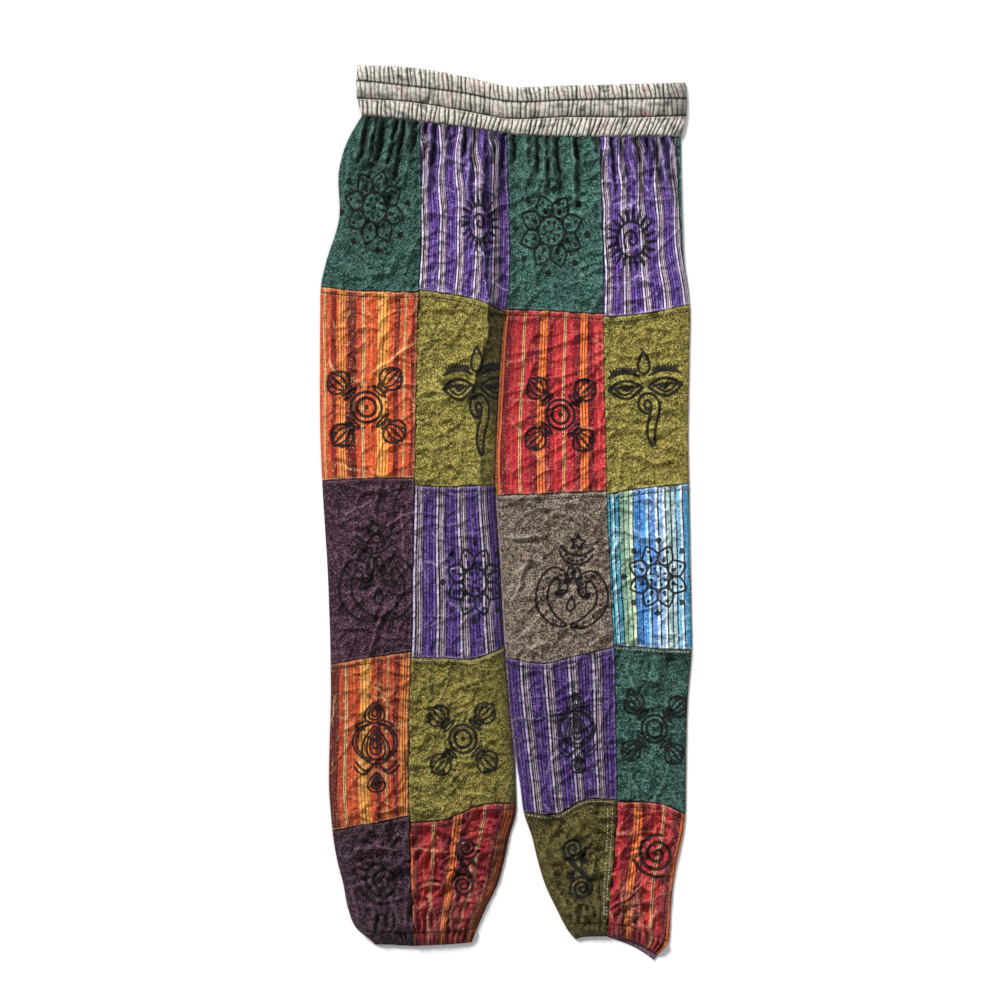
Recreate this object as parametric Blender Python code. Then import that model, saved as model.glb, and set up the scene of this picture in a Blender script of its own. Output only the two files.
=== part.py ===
"""Patchwork trousers with an elastic waist and elastic cuffs, lying flat on their back.

The frame is metres with +Z up. The waistband points to +Y, the two legs lie side by side along X,
and the cloth rests on Z = 0. The origin is under the middle of the whole garment.

Sizes below are millimetres. "Across" runs along X from the middle of the garment, and "down" runs
from the top of the waistband to the hems, against Y.
"""

import math
from collections import namedtuple

import bmesh
import bpy
import numpy as np

MM = 0.001
LENGTH = 983.5
SEAM_GAP = 0.3
LAYER_GAP = 0.3

BACK_WALL = 1.2
FRONT_WALL = 1.4
LOFT = 2.6
EDGE_ROLL = 12.0
CROTCH_DOWN = 275.0
HEM_DOWN = 966.0
WAIST_RISE = 28.0
HEM_RISE = 24.0

BAND_BACK_WALL = 2.4
BAND_WALL = 1.6
BAND_PUFF = 2.0
BAND_LINING_PUFF = 1.1
BAND_GATHER_DEPTH = 1.2
BAND_GATHERS = 44

WAIST_GATHERS = 6
WAIST_GATHER_DEPTH = 1.6
WAIST_GATHER_LENGTH = 70.0
CUFF_GATHERS = 8
CUFF_GATHER_DEPTH = 1.3
CUFF_CASING = 15.0
CUFF_GATHER_LENGTH = 34.0

# The side seam rolls to the front here, so the back's patch shows beside the front's
SIDE_ROLL_WIDTH = 5.5
SIDE_ROLL_START = 80.0
SIDE_ROLL_END = 262.0

# The outline and the long seams: one row for each place down the legs, and how far across each line is
Section = namedtuple("Section", "down side_a seam_a inside_a inside_b seam_b side_b")
SECTIONS = (
    Section(54.5, -158, -94.5, 1.5, 1.8, 102.5, 192.5),
    Section(84, -174.5, -94, 1.5, 1.8, 103.5, 192.5),
    Section(116, -183.5, -93, 2, 2.3, 104, 192.5),
    Section(169, -183.5, -92.5, 3.5, 3.8, 105.5, 193.5),
    Section(217.5, -198, -94, 4.5, 4.8, 107, 196),
    Section(243.5, -203.5, -95.5, 3.5, 3.8, 107, 200),
    Section(269, -204, -96.5, 0, 0.6, 107, 202.5),
    Section(308.5, -204.4, -97.5, -4.5, -3, 107.5, 202),
    Section(405.5, -204, -99, -10, -8.5, 109.5, 200.5),
    Section(467, -201.5, -100.5, -11.5, -9.5, 111, 201.5),
    Section(555, -196, -102, -6, -4, 114.5, 203),
    Section(606.5, -194, -103, -3.5, -1.5, 117, 204),
    Section(643, -193, -104, -1, 1, 119, 204.4),
    Section(698, -192.5, -105.7, 3, 4.5, 120.5, 200),
    Section(749.5, -194, -106.5, 8, 10.5, 121.5, 198.5),
    Section(793.5, -194.5, -106.5, 11, 16, 122, 198),
    Section(822.5, -192.5, -106, 11, 20, 122, 197.5),
    Section(847.5, -190, -105.5, 4, 28.5, 120.5, 194.5),
    Section(874, -185.5, -105, -1.5, 35, 118, 188.5),
    Section(901.5, -178.5, -104, -9.5, 43.5, 115, 184),
    Section(927, -173.5, -102.5, -22, 55.5, 113.5, 181.5),
    Section(949, -164, -101, -31.5, 67, 112.5, 180.5),
    Section(964, -146, -100, -37, 78.5, 112.5, 178.5),
    Section(984, -138.5, -99, -39.5, 88, 113, 162),
)

# The cross seams: how far down each one is at four places from the left to the right of its column
RowSeam = namedtuple("RowSeam", "above_row column left third two_thirds right")
ROW_SEAMS = (
    RowSeam(2, 1, 243.5, 247.5, 249, 249),
    RowSeam(2, 2, 247.5, 251.5, 258.5, 272),
    RowSeam(2, 3, 268.5, 269.5, 271.5, 273.5),
    RowSeam(2, 4, 276.5, 275, 270, 263),
    RowSeam(3, 1, 457, 455, 454, 454),
    RowSeam(3, 2, 461.5, 463.5, 462.5, 461.5),
    RowSeam(3, 3, 473, 471.5, 469.5, 468),
    RowSeam(3, 4, 471.5, 466.5, 462.5, 459.5),
    RowSeam(4, 1, 658.5, 653, 648.5, 644),
    RowSeam(4, 2, 651, 651.5, 652, 639),
    RowSeam(4, 3, 651, 657, 648.5, 639.5),
    RowSeam(4, 4, 638, 639.5, 641.5, 642.5),
    RowSeam(5, 1, 842, 836, 831, 824.5),
    RowSeam(5, 2, 832, 828.5, 812.5, 811),
    RowSeam(5, 3, 821, 823, 807, 807),
    RowSeam(5, 4, 809, 809, 812, 823.5),
    RowSeam(6, 1, 966.5, 966.5, 967.5, 968),
    RowSeam(6, 2, 968, 967, 966, 964),
    RowSeam(6, 3, 960.5, 958, 957.5, 957.5),
    RowSeam(6, 4, 957.5, 960.5, 969, 978.5),
)
# The back of the second cuff hangs a little lower than its front
BACK_HEM = RowSeam(6, 4, 958.5, 966, 975, 983.5)
HEM_ROW = 6

# The waistband: one row for each place across, and how far down its edges and stitch lines are
BandStation = namedtuple("BandStation", "across top stitch_1 stitch_2 bottom")
BAND = (
    BandStation(-165, 0.0, 16.5, 36.5, 54),
    BandStation(-105.5, 2.5, 23, 40.5, 60.5),
    BandStation(-45, 12.5, 31, 50.5, 68),
    BandStation(4.5, 23.5, 40, 59, 75.5),
    BandStation(65, 22.5, 38.5, 57, 78.5),
    BandStation(131, 21, 37, 57.5, 78.5),
    BandStation(199.5, 19, 36.5, 55.5, 78),
)
# How much each end of the waistband draws in at its edges and stitch lines
BAND_END_TAPER = (2.0, 0.5, 1.0, 6.5)

# The largest folds, as lines that the cloth rises along, or sinks along where the height is less than 0
Fold = namedtuple("Fold", "from_across from_down to_across to_down width height")
FOLDS = (
    Fold(-20.5, 93, -27, 186, 20, 4.0),
    Fold(-27, 186, -21, 262, 18, 3.5),
    Fold(-8, 100, -6, 262, 20, -2.0),
    Fold(-22, 262, -24, 308, 18, 4.0),
    Fold(-24, 308, -44, 362, 20, 3.0),
    Fold(-152, 343, -97, 305, 18, 2.2),
    Fold(-86, 308, -68, 278, 16, 2.2),
    Fold(-171, 489, -122, 544, 20, 1.8),
    Fold(-6, 519, 46, 518, 18, 2.5),
    Fold(27, 539, 5, 590, 18, 2.5),
    Fold(10, 718, 95, 700, 18, 3.0),
    Fold(131, 665, 159, 698, 24, 2.5),
    Fold(148, 786, 191, 747, 22, 2.5),
    Fold(-182, 698, -155, 797, 22, 2.0),
    Fold(-84, 700, -10, 688, 20, 2.0),
    Fold(-177, 863, -122, 923, 18, 3.0),
    Fold(-116, 846, -138, 896, 16, 2.5),
    Fold(-84, 841, -56, 918, 16, 3.0),
    Fold(-8, 830, -40, 896, 18, 3.0),
    Fold(27, 846, 65, 907, 18, 3.0),
    Fold(92, 841, 100, 918, 16, 2.5),
    Fold(125, 914, 175, 929, 16, 3.0),
    Fold(184, 841, 147, 896, 18, 2.5),
)

# What each row's patches are cut from, column by column
GREEN = "green_cotton"
OLIVE = "olive_cotton"
PLUM = "plum_cotton"
TAUPE = "taupe_cotton"
PURPLE_STRIPE = "purple_striped_cotton"
ORANGE_STRIPE = "orange_striped_cotton"
RED_STRIPE = "red_striped_cotton"
BLUE_STRIPE = "blue_striped_cotton"
BAND_CLOTH = "waistband_cotton"
FRONT_CLOTHS = (
    (GREEN, PURPLE_STRIPE, GREEN, PURPLE_STRIPE),
    (ORANGE_STRIPE, OLIVE, RED_STRIPE, OLIVE),
    (PLUM, PURPLE_STRIPE, TAUPE, BLUE_STRIPE),
    (ORANGE_STRIPE, OLIVE, PURPLE_STRIPE, GREEN),
    (PLUM, RED_STRIPE, OLIVE, RED_STRIPE),
)
BACK_CLOTHS = (
    (PURPLE_STRIPE, GREEN, PURPLE_STRIPE, GREEN),
    (OLIVE, RED_STRIPE, OLIVE, ORANGE_STRIPE),
    (BLUE_STRIPE, TAUPE, PURPLE_STRIPE, PLUM),
    (GREEN, PURPLE_STRIPE, OLIVE, ORANGE_STRIPE),
    (RED_STRIPE, OLIVE, RED_STRIPE, PLUM),
)
COLOURS = {
    GREEN: (0.014, 0.102, 0.072),
    OLIVE: (0.205, 0.212, 0.027),
    PLUM: (0.050, 0.019, 0.037),
    TAUPE: (0.159, 0.114, 0.073),
    PURPLE_STRIPE: (0.105, 0.047, 0.254),
    ORANGE_STRIPE: (0.745, 0.093, 0.023),
    RED_STRIPE: (0.479, 0.017, 0.025),
    BLUE_STRIPE: (0.120, 0.350, 0.651),
    BAND_CLOTH: (0.468, 0.421, 0.347),
}
CLOTH_ROUGHNESS = 0.9

ROWS = 5
COLUMNS = 4
PATCH_WIDE = 8
PATCH_LONG = 12
BACK_WIDE = 2
BACK_LONG = 6
SAMPLES_A_WAVE = 3
PUFF_STEPS = 4
BAND_INSIDE_WIDE = 20
SEAM_SEARCHES = 6
# Places down a patch, closer together at the gathered end
GATHERED_STEPS = (0.0, 0.035, 0.09, 0.17, 0.27, 0.38, 0.49, 0.6, 0.7, 0.8, 0.9, 1.0)
GATHERED_ROWS = 4


def curve(stations, values, at):
    """A smooth line through the stations' values, read at any place."""
    stations = np.asarray(stations, float)
    values = np.asarray(values, float)
    steps = np.diff(stations)
    rises = np.diff(values) / steps
    slopes = np.concatenate(([rises[0]], (rises[:-1] + rises[1:]) / 2, [rises[-1]]))
    at = np.clip(at, stations[0], stations[-1])
    i = np.clip(np.searchsorted(stations, at, side="right") - 1, 0, len(steps) - 1)
    u = (at - stations[i]) / steps[i]
    start = (1 + 2 * u) * (1 - u) ** 2 * values[i] + u * (1 - u) ** 2 * steps[i] * slopes[i]
    end = u * u * (3 - 2 * u) * values[i + 1] + u * u * (u - 1) * steps[i] * slopes[i + 1]
    return start + end


def long_line(name, down):
    """How far across one of the long lines is, at a place down the legs."""
    return curve([s.down for s in SECTIONS], [getattr(s, name) for s in SECTIONS], down)


def band_line(name, across):
    """How far down one of the waistband's lines is, at a place across."""
    return curve([s.across for s in BAND], [getattr(s, name) for s in BAND], across)


def column_sides(column):
    """The long lines at the left and the right of a column."""
    return {
        1: ("side_a", "seam_a"),
        2: ("seam_a", "inside_a"),
        3: ("inside_b", "seam_b"),
        4: ("seam_b", "side_b"),
    }[column]


def cross_line(row, column, s, back):
    """How far down the seam or edge above a row is, at the fraction s across its column."""
    if row == 1:
        left, right = column_sides(column)
        down = BAND[0].bottom
        for _ in range(SEAM_SEARCHES):
            start = long_line(left, down)
            down = band_line("bottom", start + s * (long_line(right, down) - start))
        return down
    seam = next(r for r in ROW_SEAMS if (r.above_row, r.column) == (row, column))
    if back and (row, column) == (HEM_ROW, BACK_HEM.column):
        seam = BACK_HEM
    return curve((0, 1 / 3, 2 / 3, 1), (seam.left, seam.third, seam.two_thirds, seam.right), s)


def side_roll(row, column, down):
    """How far the front's edge is drawn in where the back rolls round the side seam."""
    if (row, column) != (1, COLUMNS):
        return 0.0
    left = (SIDE_ROLL_END - down) / (SIDE_ROLL_END - SIDE_ROLL_START)
    return SIDE_ROLL_WIDTH * np.clip(left, 0, 1)


def patch_place(row, column, s, t, back):
    """The point of a patch at the fractions s across and t down, as (across, down)."""
    top = cross_line(row, column, s, back) + SEAM_GAP / 2
    bottom = cross_line(row + 1, column, s, back) - SEAM_GAP / 2
    down = top + (bottom - top) * t
    left, right = column_sides(column)
    start = long_line(left, down) + SEAM_GAP / 2
    end = long_line(right, down) - SEAM_GAP / 2
    if not back:
        end = end - side_roll(row, column, down)
    return start + (end - start) * s, down


def rise(distance, length):
    """Goes smoothly from 0 at an edge to 1 well inside it."""
    return 1 - np.exp(-np.maximum(distance, 0) / length)


def fold_lift(across, down):
    """What all the folds add to the height of the front at a place."""
    lift = 0.0
    for fold in FOLDS:
        run_across = fold.to_across - fold.from_across
        run_down = fold.to_down - fold.from_down
        run = math.hypot(run_across, run_down)
        along = ((across - fold.from_across) * run_across + (down - fold.from_down) * run_down) / run
        aside = ((across - fold.from_across) * run_down - (down - fold.from_down) * run_across) / run
        beyond = np.maximum(np.abs(along - run / 2) - run / 2 + fold.width / 2, 0)
        reach = np.clip(np.hypot(aside, beyond) / (fold.width / 2), 0, 1)
        lift = lift + fold.height * np.cos(reach * math.pi / 2) ** 2
    return lift


def front_lift(column, across, down):
    """How far the front is lifted off the back at a place, before its gathers."""
    if column <= 2:
        to_side = across - long_line("side_a", down)
        to_inside = long_line("inside_a", down) - across
    else:
        to_side = long_line("side_b", down) - across
        to_inside = across - long_line("inside_b", down)
    to_inside = to_inside + 2 * np.maximum(CROTCH_DOWN - down, 0)
    held = rise(to_side, EDGE_ROLL) * rise(to_inside, EDGE_ROLL)
    at_waist = 0.3 + 0.7 * rise(down - band_line("bottom", across), WAIST_RISE)
    at_hem = 0.35 + 0.65 * rise(HEM_DOWN - down, HEM_RISE)
    return np.maximum(held * (LOFT * at_waist * at_hem + fold_lift(across, down)), 0)


def gather_stations(gathers, unevenness):
    """Fractions across a gathered edge and the gathers' height there, a trough and two crests for each."""
    stations = []
    for k in range(gathers * SAMPLES_A_WAVE + 1):
        shift = unevenness * math.sin(2.4 * k) if 0 < k < gathers * SAMPLES_A_WAVE else 0.0
        size = 0.75 + 0.25 * math.sin(1.7 * (k // SAMPLES_A_WAVE))
        height = (0.0, 1.0, 0.7)[k % SAMPLES_A_WAVE] * size
        stations.append(((k + shift) / (gathers * SAMPLES_A_WAVE), height))
    return stations


def to_metres(across, down, height):
    """A point of the garment in the frame."""
    return (float(across) * MM, float(LENGTH / 2 - down) * MM, float(height) * MM)


def strip(bm, first, second):
    """Faces between two runs of vertices that may differ in number."""
    i = j = 0
    while i < len(first) - 1 or j < len(second) - 1:
        place_i = (i + 1) / (len(first) - 1)
        place_j = (j + 1) / (len(second) - 1)
        if j == len(second) - 1 or (i < len(first) - 1 and place_i <= place_j):
            bm.faces.new((first[i], second[j], first[i + 1]))
            i += 1
        else:
            bm.faces.new((first[i], second[j], second[j + 1]))
            j += 1


def cloth_wall(name, outer_rows, inner_rows, cloth):
    """A closed wall of cloth between rows of points on its outer and inner faces."""
    bm = bmesh.new()
    outer = [[bm.verts.new(point) for point in row] for row in outer_rows]
    inner = [[bm.verts.new(point) for point in row] for row in inner_rows]
    for rows in (outer, inner):
        for above, below in zip(rows, rows[1:]):
            strip(bm, above, below)
    strip(bm, outer[0], inner[0])
    strip(bm, outer[-1], inner[-1])
    strip(bm, [row[0] for row in outer], [row[0] for row in inner])
    strip(bm, [row[-1] for row in outer], [row[-1] for row in inner])
    bmesh.ops.recalc_face_normals(bm, faces=bm.faces)
    mesh = bpy.data.meshes.new(name)
    bm.to_mesh(mesh)
    bm.free()
    mesh.shade_smooth()
    mesh.set_sharp_from_angle(angle=math.radians(50))
    mesh.materials.append(cloth_material(cloth))
    piece = bpy.data.objects.new(name, mesh)
    bpy.context.scene.collection.objects.link(piece)
    return piece


def cloth_material(cloth):
    """The cloth's own plain material, made once."""
    material = bpy.data.materials.get(cloth)
    if material:
        return material
    material = bpy.data.materials.new(cloth)
    material.use_nodes = True
    shader = material.node_tree.nodes["Principled BSDF"]
    shader.inputs["Base Color"].default_value = (*COLOURS[cloth], 1)
    shader.inputs["Roughness"].default_value = CLOTH_ROUGHNESS
    shader.inputs["Metallic"].default_value = 0.0
    return material


def patch_stations(row):
    """Places down a patch, and what gathers it has at each place, as (t, gather count)."""
    even = [(step / PATCH_LONG, 0) for step in range(PATCH_LONG + 1)]
    if row == 1:
        return [(t, WAIST_GATHERS * (i < GATHERED_ROWS)) for i, t in enumerate(GATHERED_STEPS)]
    if row == ROWS:
        turned = [1 - t for t in reversed(GATHERED_STEPS)]
        first_gathered = len(turned) - GATHERED_ROWS
        return [(t, CUFF_GATHERS * (i >= first_gathered)) for i, t in enumerate(turned)]
    return even


def gather_height(row, column, across, down, s):
    """How high a full crest stands at a place of a gathered patch."""
    if row == 1:
        fade = np.clip(1 - (down - band_line("bottom", across)) / WAIST_GATHER_LENGTH, 0, 1)
        return WAIST_GATHER_DEPTH * fade
    to_hem = cross_line(HEM_ROW, column, s, False) - down
    return CUFF_GATHER_DEPTH * np.clip(1 - (to_hem - CUFF_CASING) / CUFF_GATHER_LENGTH, 0, 1)


def make_front_patch(row, column):
    """One front patch: its folds go through the wall, and its gathers are raised on the outer face."""
    outer_rows = []
    inner_rows = []
    plain = [(step / PATCH_WIDE, 0.0) for step in range(PATCH_WIDE + 1)]
    for t, gathers in patch_stations(row):
        outer_row = []
        for s, crest in gather_stations(gathers, 0.3) if gathers else plain:
            across, down = patch_place(row, column, s, t, False)
            under = BACK_WALL + LAYER_GAP + front_lift(column, across, down)
            raised = crest * gather_height(row, column, across, down, s) if gathers else 0.0
            outer_row.append(to_metres(across, down, under + FRONT_WALL + raised))
        inner_row = []
        for s, _ in plain:
            across, down = patch_place(row, column, s, t, False)
            under = BACK_WALL + LAYER_GAP + front_lift(column, across, down)
            inner_row.append(to_metres(across, down, under))
        outer_rows.append(outer_row)
        inner_rows.append(inner_row)
    cloth_wall(f"front_r{row}c{column}", outer_rows, inner_rows, FRONT_CLOTHS[row - 1][column - 1])


def make_back_patch(row, column):
    """One back patch, flat where the trousers rest on it."""
    outer_rows = []
    inner_rows = []
    for step in range(BACK_LONG + 1):
        wide = PATCH_WIDE if (row, step) == (1, 0) else BACK_WIDE
        places = [patch_place(row, column, k / wide, step / BACK_LONG, True) for k in range(wide + 1)]
        outer_rows.append([to_metres(across, down, 0) for across, down in places])
        inner_rows.append([to_metres(across, down, BACK_WALL) for across, down in places])
    cloth_wall(f"back_r{row}c{column}", outer_rows, inner_rows, BACK_CLOTHS[row - 1][column - 1])


def band_rows():
    """The waistband's rows from its top edge down: (channel, fraction down that channel)."""
    rows = [(0, 0.0)]
    for channel in range(3):
        rows += [(channel, (step + 1) / PUFF_STEPS) for step in range(PUFF_STEPS)]
    return rows


def band_place(channel, q, s):
    """The waistband's point at a fraction down a channel and the fraction s across."""
    names = BandStation._fields[1:]
    taper = BAND_END_TAPER[channel] * (1 - q) + BAND_END_TAPER[channel + 1] * q
    start = BAND[0].across + taper
    across = start + (BAND[-1].across - taper - start) * s
    upper = band_line(names[channel], across)
    lower = band_line(names[channel + 1], across)
    return across, upper + (lower - upper) * q - (SEAM_GAP / 2 if (channel, q) == (2, 1.0) else 0)


def make_waistband():
    """The waistband's front with its three gathered channels, and its flat back."""
    stations = gather_stations(BAND_GATHERS, 0.35)
    inside = [step / BAND_INSIDE_WIDE for step in range(BAND_INSIDE_WIDE + 1)]
    front_under = BAND_BACK_WALL + LAYER_GAP
    outer_rows, inner_rows, back_outer, back_inner = [], [], [], []
    for channel, q in band_rows():
        puff = math.sin(math.pi * q) ** 0.7
        depth = BAND_GATHER_DEPTH * (0.45 + 0.55 * puff)
        outer_row = []
        for k, (s, crest) in enumerate(stations):
            across, down = band_place(channel, q, s)
            ends = rise(min(s, 1 - s) * (BAND[-1].across - BAND[0].across), EDGE_ROLL / 3)
            height = front_under + BAND_WALL + ends * (BAND_PUFF * puff + depth * crest)
            outer_row.append(to_metres(across, down, height))
        outer_rows.append(outer_row)
        plain = [(s, *band_place(channel, q, s)) for s in inside]
        back_outer.append([to_metres(across, down, 0) for _, across, down in plain])
        back_inner.append([to_metres(across, down, BAND_BACK_WALL) for _, across, down in plain])
        inner_rows.append([
            to_metres(across, down, front_under + BAND_LINING_PUFF * puff * (0 < s < 1))
            for s, across, down in plain
        ])
    cloth_wall("waistband_front", outer_rows, inner_rows, BAND_CLOTH)
    stitch_rows = slice(None, None, PUFF_STEPS)
    cloth_wall("waistband_back", back_outer[stitch_rows], back_inner[stitch_rows], BAND_CLOTH)


def main():
    for scene_object in list(bpy.data.objects):
        bpy.data.objects.remove(scene_object, do_unlink=True)
    for row in range(1, ROWS + 1):
        for column in range(1, COLUMNS + 1):
            make_front_patch(row, column)
            make_back_patch(row, column)
    make_waistband()


main()
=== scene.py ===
"""The looks of patchwork trousers that lie flat: cloths, prints, gathers, creases and stitching.

Sizes are millimetres unless a name says otherwise. "Across" runs along X from the middle of the
garment and "down" runs from the top of the waistband to the hems, against Y, as in the part's source.
"""

import logging
import math
from dataclasses import dataclass, field
from enum import Enum
from typing import Callable, Sequence

import bmesh
import bpy
import numpy as np
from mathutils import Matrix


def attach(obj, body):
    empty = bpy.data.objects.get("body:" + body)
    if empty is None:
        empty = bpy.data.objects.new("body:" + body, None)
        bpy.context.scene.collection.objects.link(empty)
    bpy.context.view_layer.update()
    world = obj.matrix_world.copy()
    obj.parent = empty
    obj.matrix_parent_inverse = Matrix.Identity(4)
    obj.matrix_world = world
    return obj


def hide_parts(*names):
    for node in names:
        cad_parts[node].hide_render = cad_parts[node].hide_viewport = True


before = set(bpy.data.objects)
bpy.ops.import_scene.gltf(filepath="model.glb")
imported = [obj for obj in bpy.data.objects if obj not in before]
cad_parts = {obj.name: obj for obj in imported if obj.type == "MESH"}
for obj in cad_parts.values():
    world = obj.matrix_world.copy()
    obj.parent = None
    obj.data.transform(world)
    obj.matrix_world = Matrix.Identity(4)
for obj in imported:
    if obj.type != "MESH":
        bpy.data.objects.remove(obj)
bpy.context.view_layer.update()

LOG = logging.getLogger("trousers")
MM = 0.001
LENGTH = 983.5
ROWS, COLUMNS = range(1, 6), range(1, 5)
Array = np.ndarray
Tree = bpy.types.NodeTree
Socket = bpy.types.NodeSocket


def linear(hex_colour: str) -> tuple[float, float, float, float]:
    """Turns an sRGB hex colour into the linear colour that a shader reads.

    Args:
        hex_colour: Six hex digits after a #.

    Returns:
        Red, green, blue and an alpha of 1.
    """
    channels = [int(hex_colour[i : i + 2], 16) / 255 for i in (1, 3, 5)]
    return (*[c / 12.92 if c <= 0.04045 else ((c + 0.055) / 1.055) ** 2.4 for c in channels], 1.0)


def add_node(tree: Tree, kind: str, links: dict | None = None, **settings) -> bpy.types.Node:
    """Adds one node with its settings and links.

    Args:
        tree: The material's node tree.
        kind: The node's type name.
        links: What each input takes: an output socket, or a plain value.
        **settings: The node's own properties.

    Returns:
        The new node.
    """
    node = tree.nodes.new(kind)
    for name, value in settings.items():
        setattr(node, name, value)
    for name, value in (links or {}).items():
        if isinstance(value, Socket):
            tree.links.new(value, node.inputs[name])
        else:
            node.inputs[name].default_value = value
    return node


def calculated(tree: Tree, operation: str, *values: Socket | float, **settings) -> Socket:
    """Works out one value from up to three others."""
    links = dict(enumerate(values))
    return add_node(tree, "ShaderNodeMath", links, operation=operation, **settings).outputs[0]


def curve(stations: Sequence[float], values: Sequence[float], at: Array) -> Array:
    """Reads a smooth line through the stations' values.

    Args:
        stations: Places along the line, rising.
        values: The line's value at each of them.
        at: Where to read it.

    Returns:
        The values there.
    """
    stations = np.asarray(stations, float)
    values = np.asarray(values, float)
    steps = np.diff(stations)
    rises = np.diff(values) / steps
    slopes = np.concatenate(([rises[0]], (rises[:-1] + rises[1:]) / 2, [rises[-1]]))
    at = np.clip(at, stations[0], stations[-1])
    i = np.clip(np.searchsorted(stations, at, side="right") - 1, 0, len(steps) - 1)
    u = (at - stations[i]) / steps[i]
    start = (1 + 2 * u) * (1 - u) ** 2 * values[i] + u * (1 - u) ** 2 * steps[i] * slopes[i]
    end = u * u * (3 - 2 * u) * values[i + 1] + u * u * (u - 1) * steps[i] * slopes[i + 1]
    return start + end


def rise(distance: Array, length: float) -> Array:
    """Goes smoothly from 0 at an edge to 1 well inside it."""
    return 1 - np.exp(-np.maximum(distance, 0) / length)


def smoothstep(low: float, high: float, value: Array) -> Array:
    """Goes smoothly from 0 at low to 1 at high."""
    u = np.clip((value - low) / (high - low), 0, 1)
    return u * u * (3 - 2 * u)


def bell(value: Array, middle: float | Array, width: float | Array) -> Array:
    """Is 1 at a middle value and falls off to both sides of it."""
    return np.exp(-(((value - middle) / width) ** 2))


def rolled(distance: Array, radius: float) -> Array:
    """Says how far an edge that rolls over has turned away, from the radius at the edge to 0."""
    inside = np.clip(distance, 0, radius)
    return radius - np.sqrt(radius**2 - (radius - inside) ** 2)


def unit(degrees: float) -> tuple[float, float]:
    """Gives the cosine and the sine of an angle."""
    return math.cos(math.radians(degrees)), math.sin(math.radians(degrees))


class Cloth(Enum):
    """The cloths that the patches are cut from, by the record's slot names."""

    GREEN = "green_cotton"
    OLIVE = "olive_cotton"
    PLUM = "plum_cotton"
    TAUPE = "taupe_cotton"
    PURPLE_STRIPE = "purple_striped_cotton"
    ORANGE_STRIPE = "orange_striped_cotton"
    RED_STRIPE = "red_striped_cotton"
    BLUE_STRIPE = "blue_striped_cotton"
    BAND = "waistband_cotton"


class Side(Enum):
    """Which side of the trousers a patch is on."""

    FRONT = "front"
    BACK = "back"


@dataclass(frozen=True)
class PlainCotton:
    """Stonewashed plain weave: uneven dye, pale flecks where the wash rubbed it, a soft nap."""

    name: str
    base: str
    dark: str
    light: str
    fleck: float = 0.0
    cloud: float = 0.35
    cloud_mm: float = 30.0
    thread_mm: float = 1.05

    def material(self) -> bpy.types.Material:
        """Builds the finish. Threads are drawn about twice as coarse as real ones, so that they show."""
        material, tree, shader = new_cotton(self.name)
        place = cloth_place(tree)
        clouds = noise(tree, place, 1 / self.cloud_mm, 1 / self.cloud_mm, detail=3.0)
        slubs = noise(tree, place, 1 / self.thread_mm, 0.3 / self.thread_mm, detail=2.0)
        picks = noise(tree, place, 0.3 / self.thread_mm, 1 / self.thread_mm, detail=2.0)
        fibres = noise(tree, place, 0.8 / self.thread_mm, 0.8 / self.thread_mm, detail=1.0)
        grain = calculated(tree, "ADD", slubs, picks)
        finer = calculated(tree, "MULTIPLY_ADD", fibres, 1.1, grain)
        rubs = noise(tree, place, 1 / 8, 1 / 6, detail=3.0)
        flecked = calculated(tree, "MULTIPLY_ADD", flecks(tree, place, 1.0), 0.5, finer)
        washed = calculated(tree, "MULTIPLY_ADD", rubs, 0.7, flecked)
        tone = calculated(tree, "MULTIPLY_ADD", clouds, self.cloud, washed)
        # Pale rubbed marks lift the tone towards the ramp's pale end: abrasion at seam edges, and on ridges
        # partly abrasion and partly a painted highlight.
        worn = lifted(tree, tone, ATTRIBUTE_WEAR_AND_HIGHLIGHT, 0.15)
        middle = 2.12 + 0.5 * self.cloud
        stops = [(0.0, self.dark), (0.38, self.base), (0.60, self.base), (1.0, self.light)]
        ramp = colour_ramp(tree, spread(tree, worn, middle - 0.31, middle + 0.36 + self.fleck), stops)
        finish_cotton(tree, shader, ramp, place, self.thread_mm, self.light)
        return material


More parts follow.
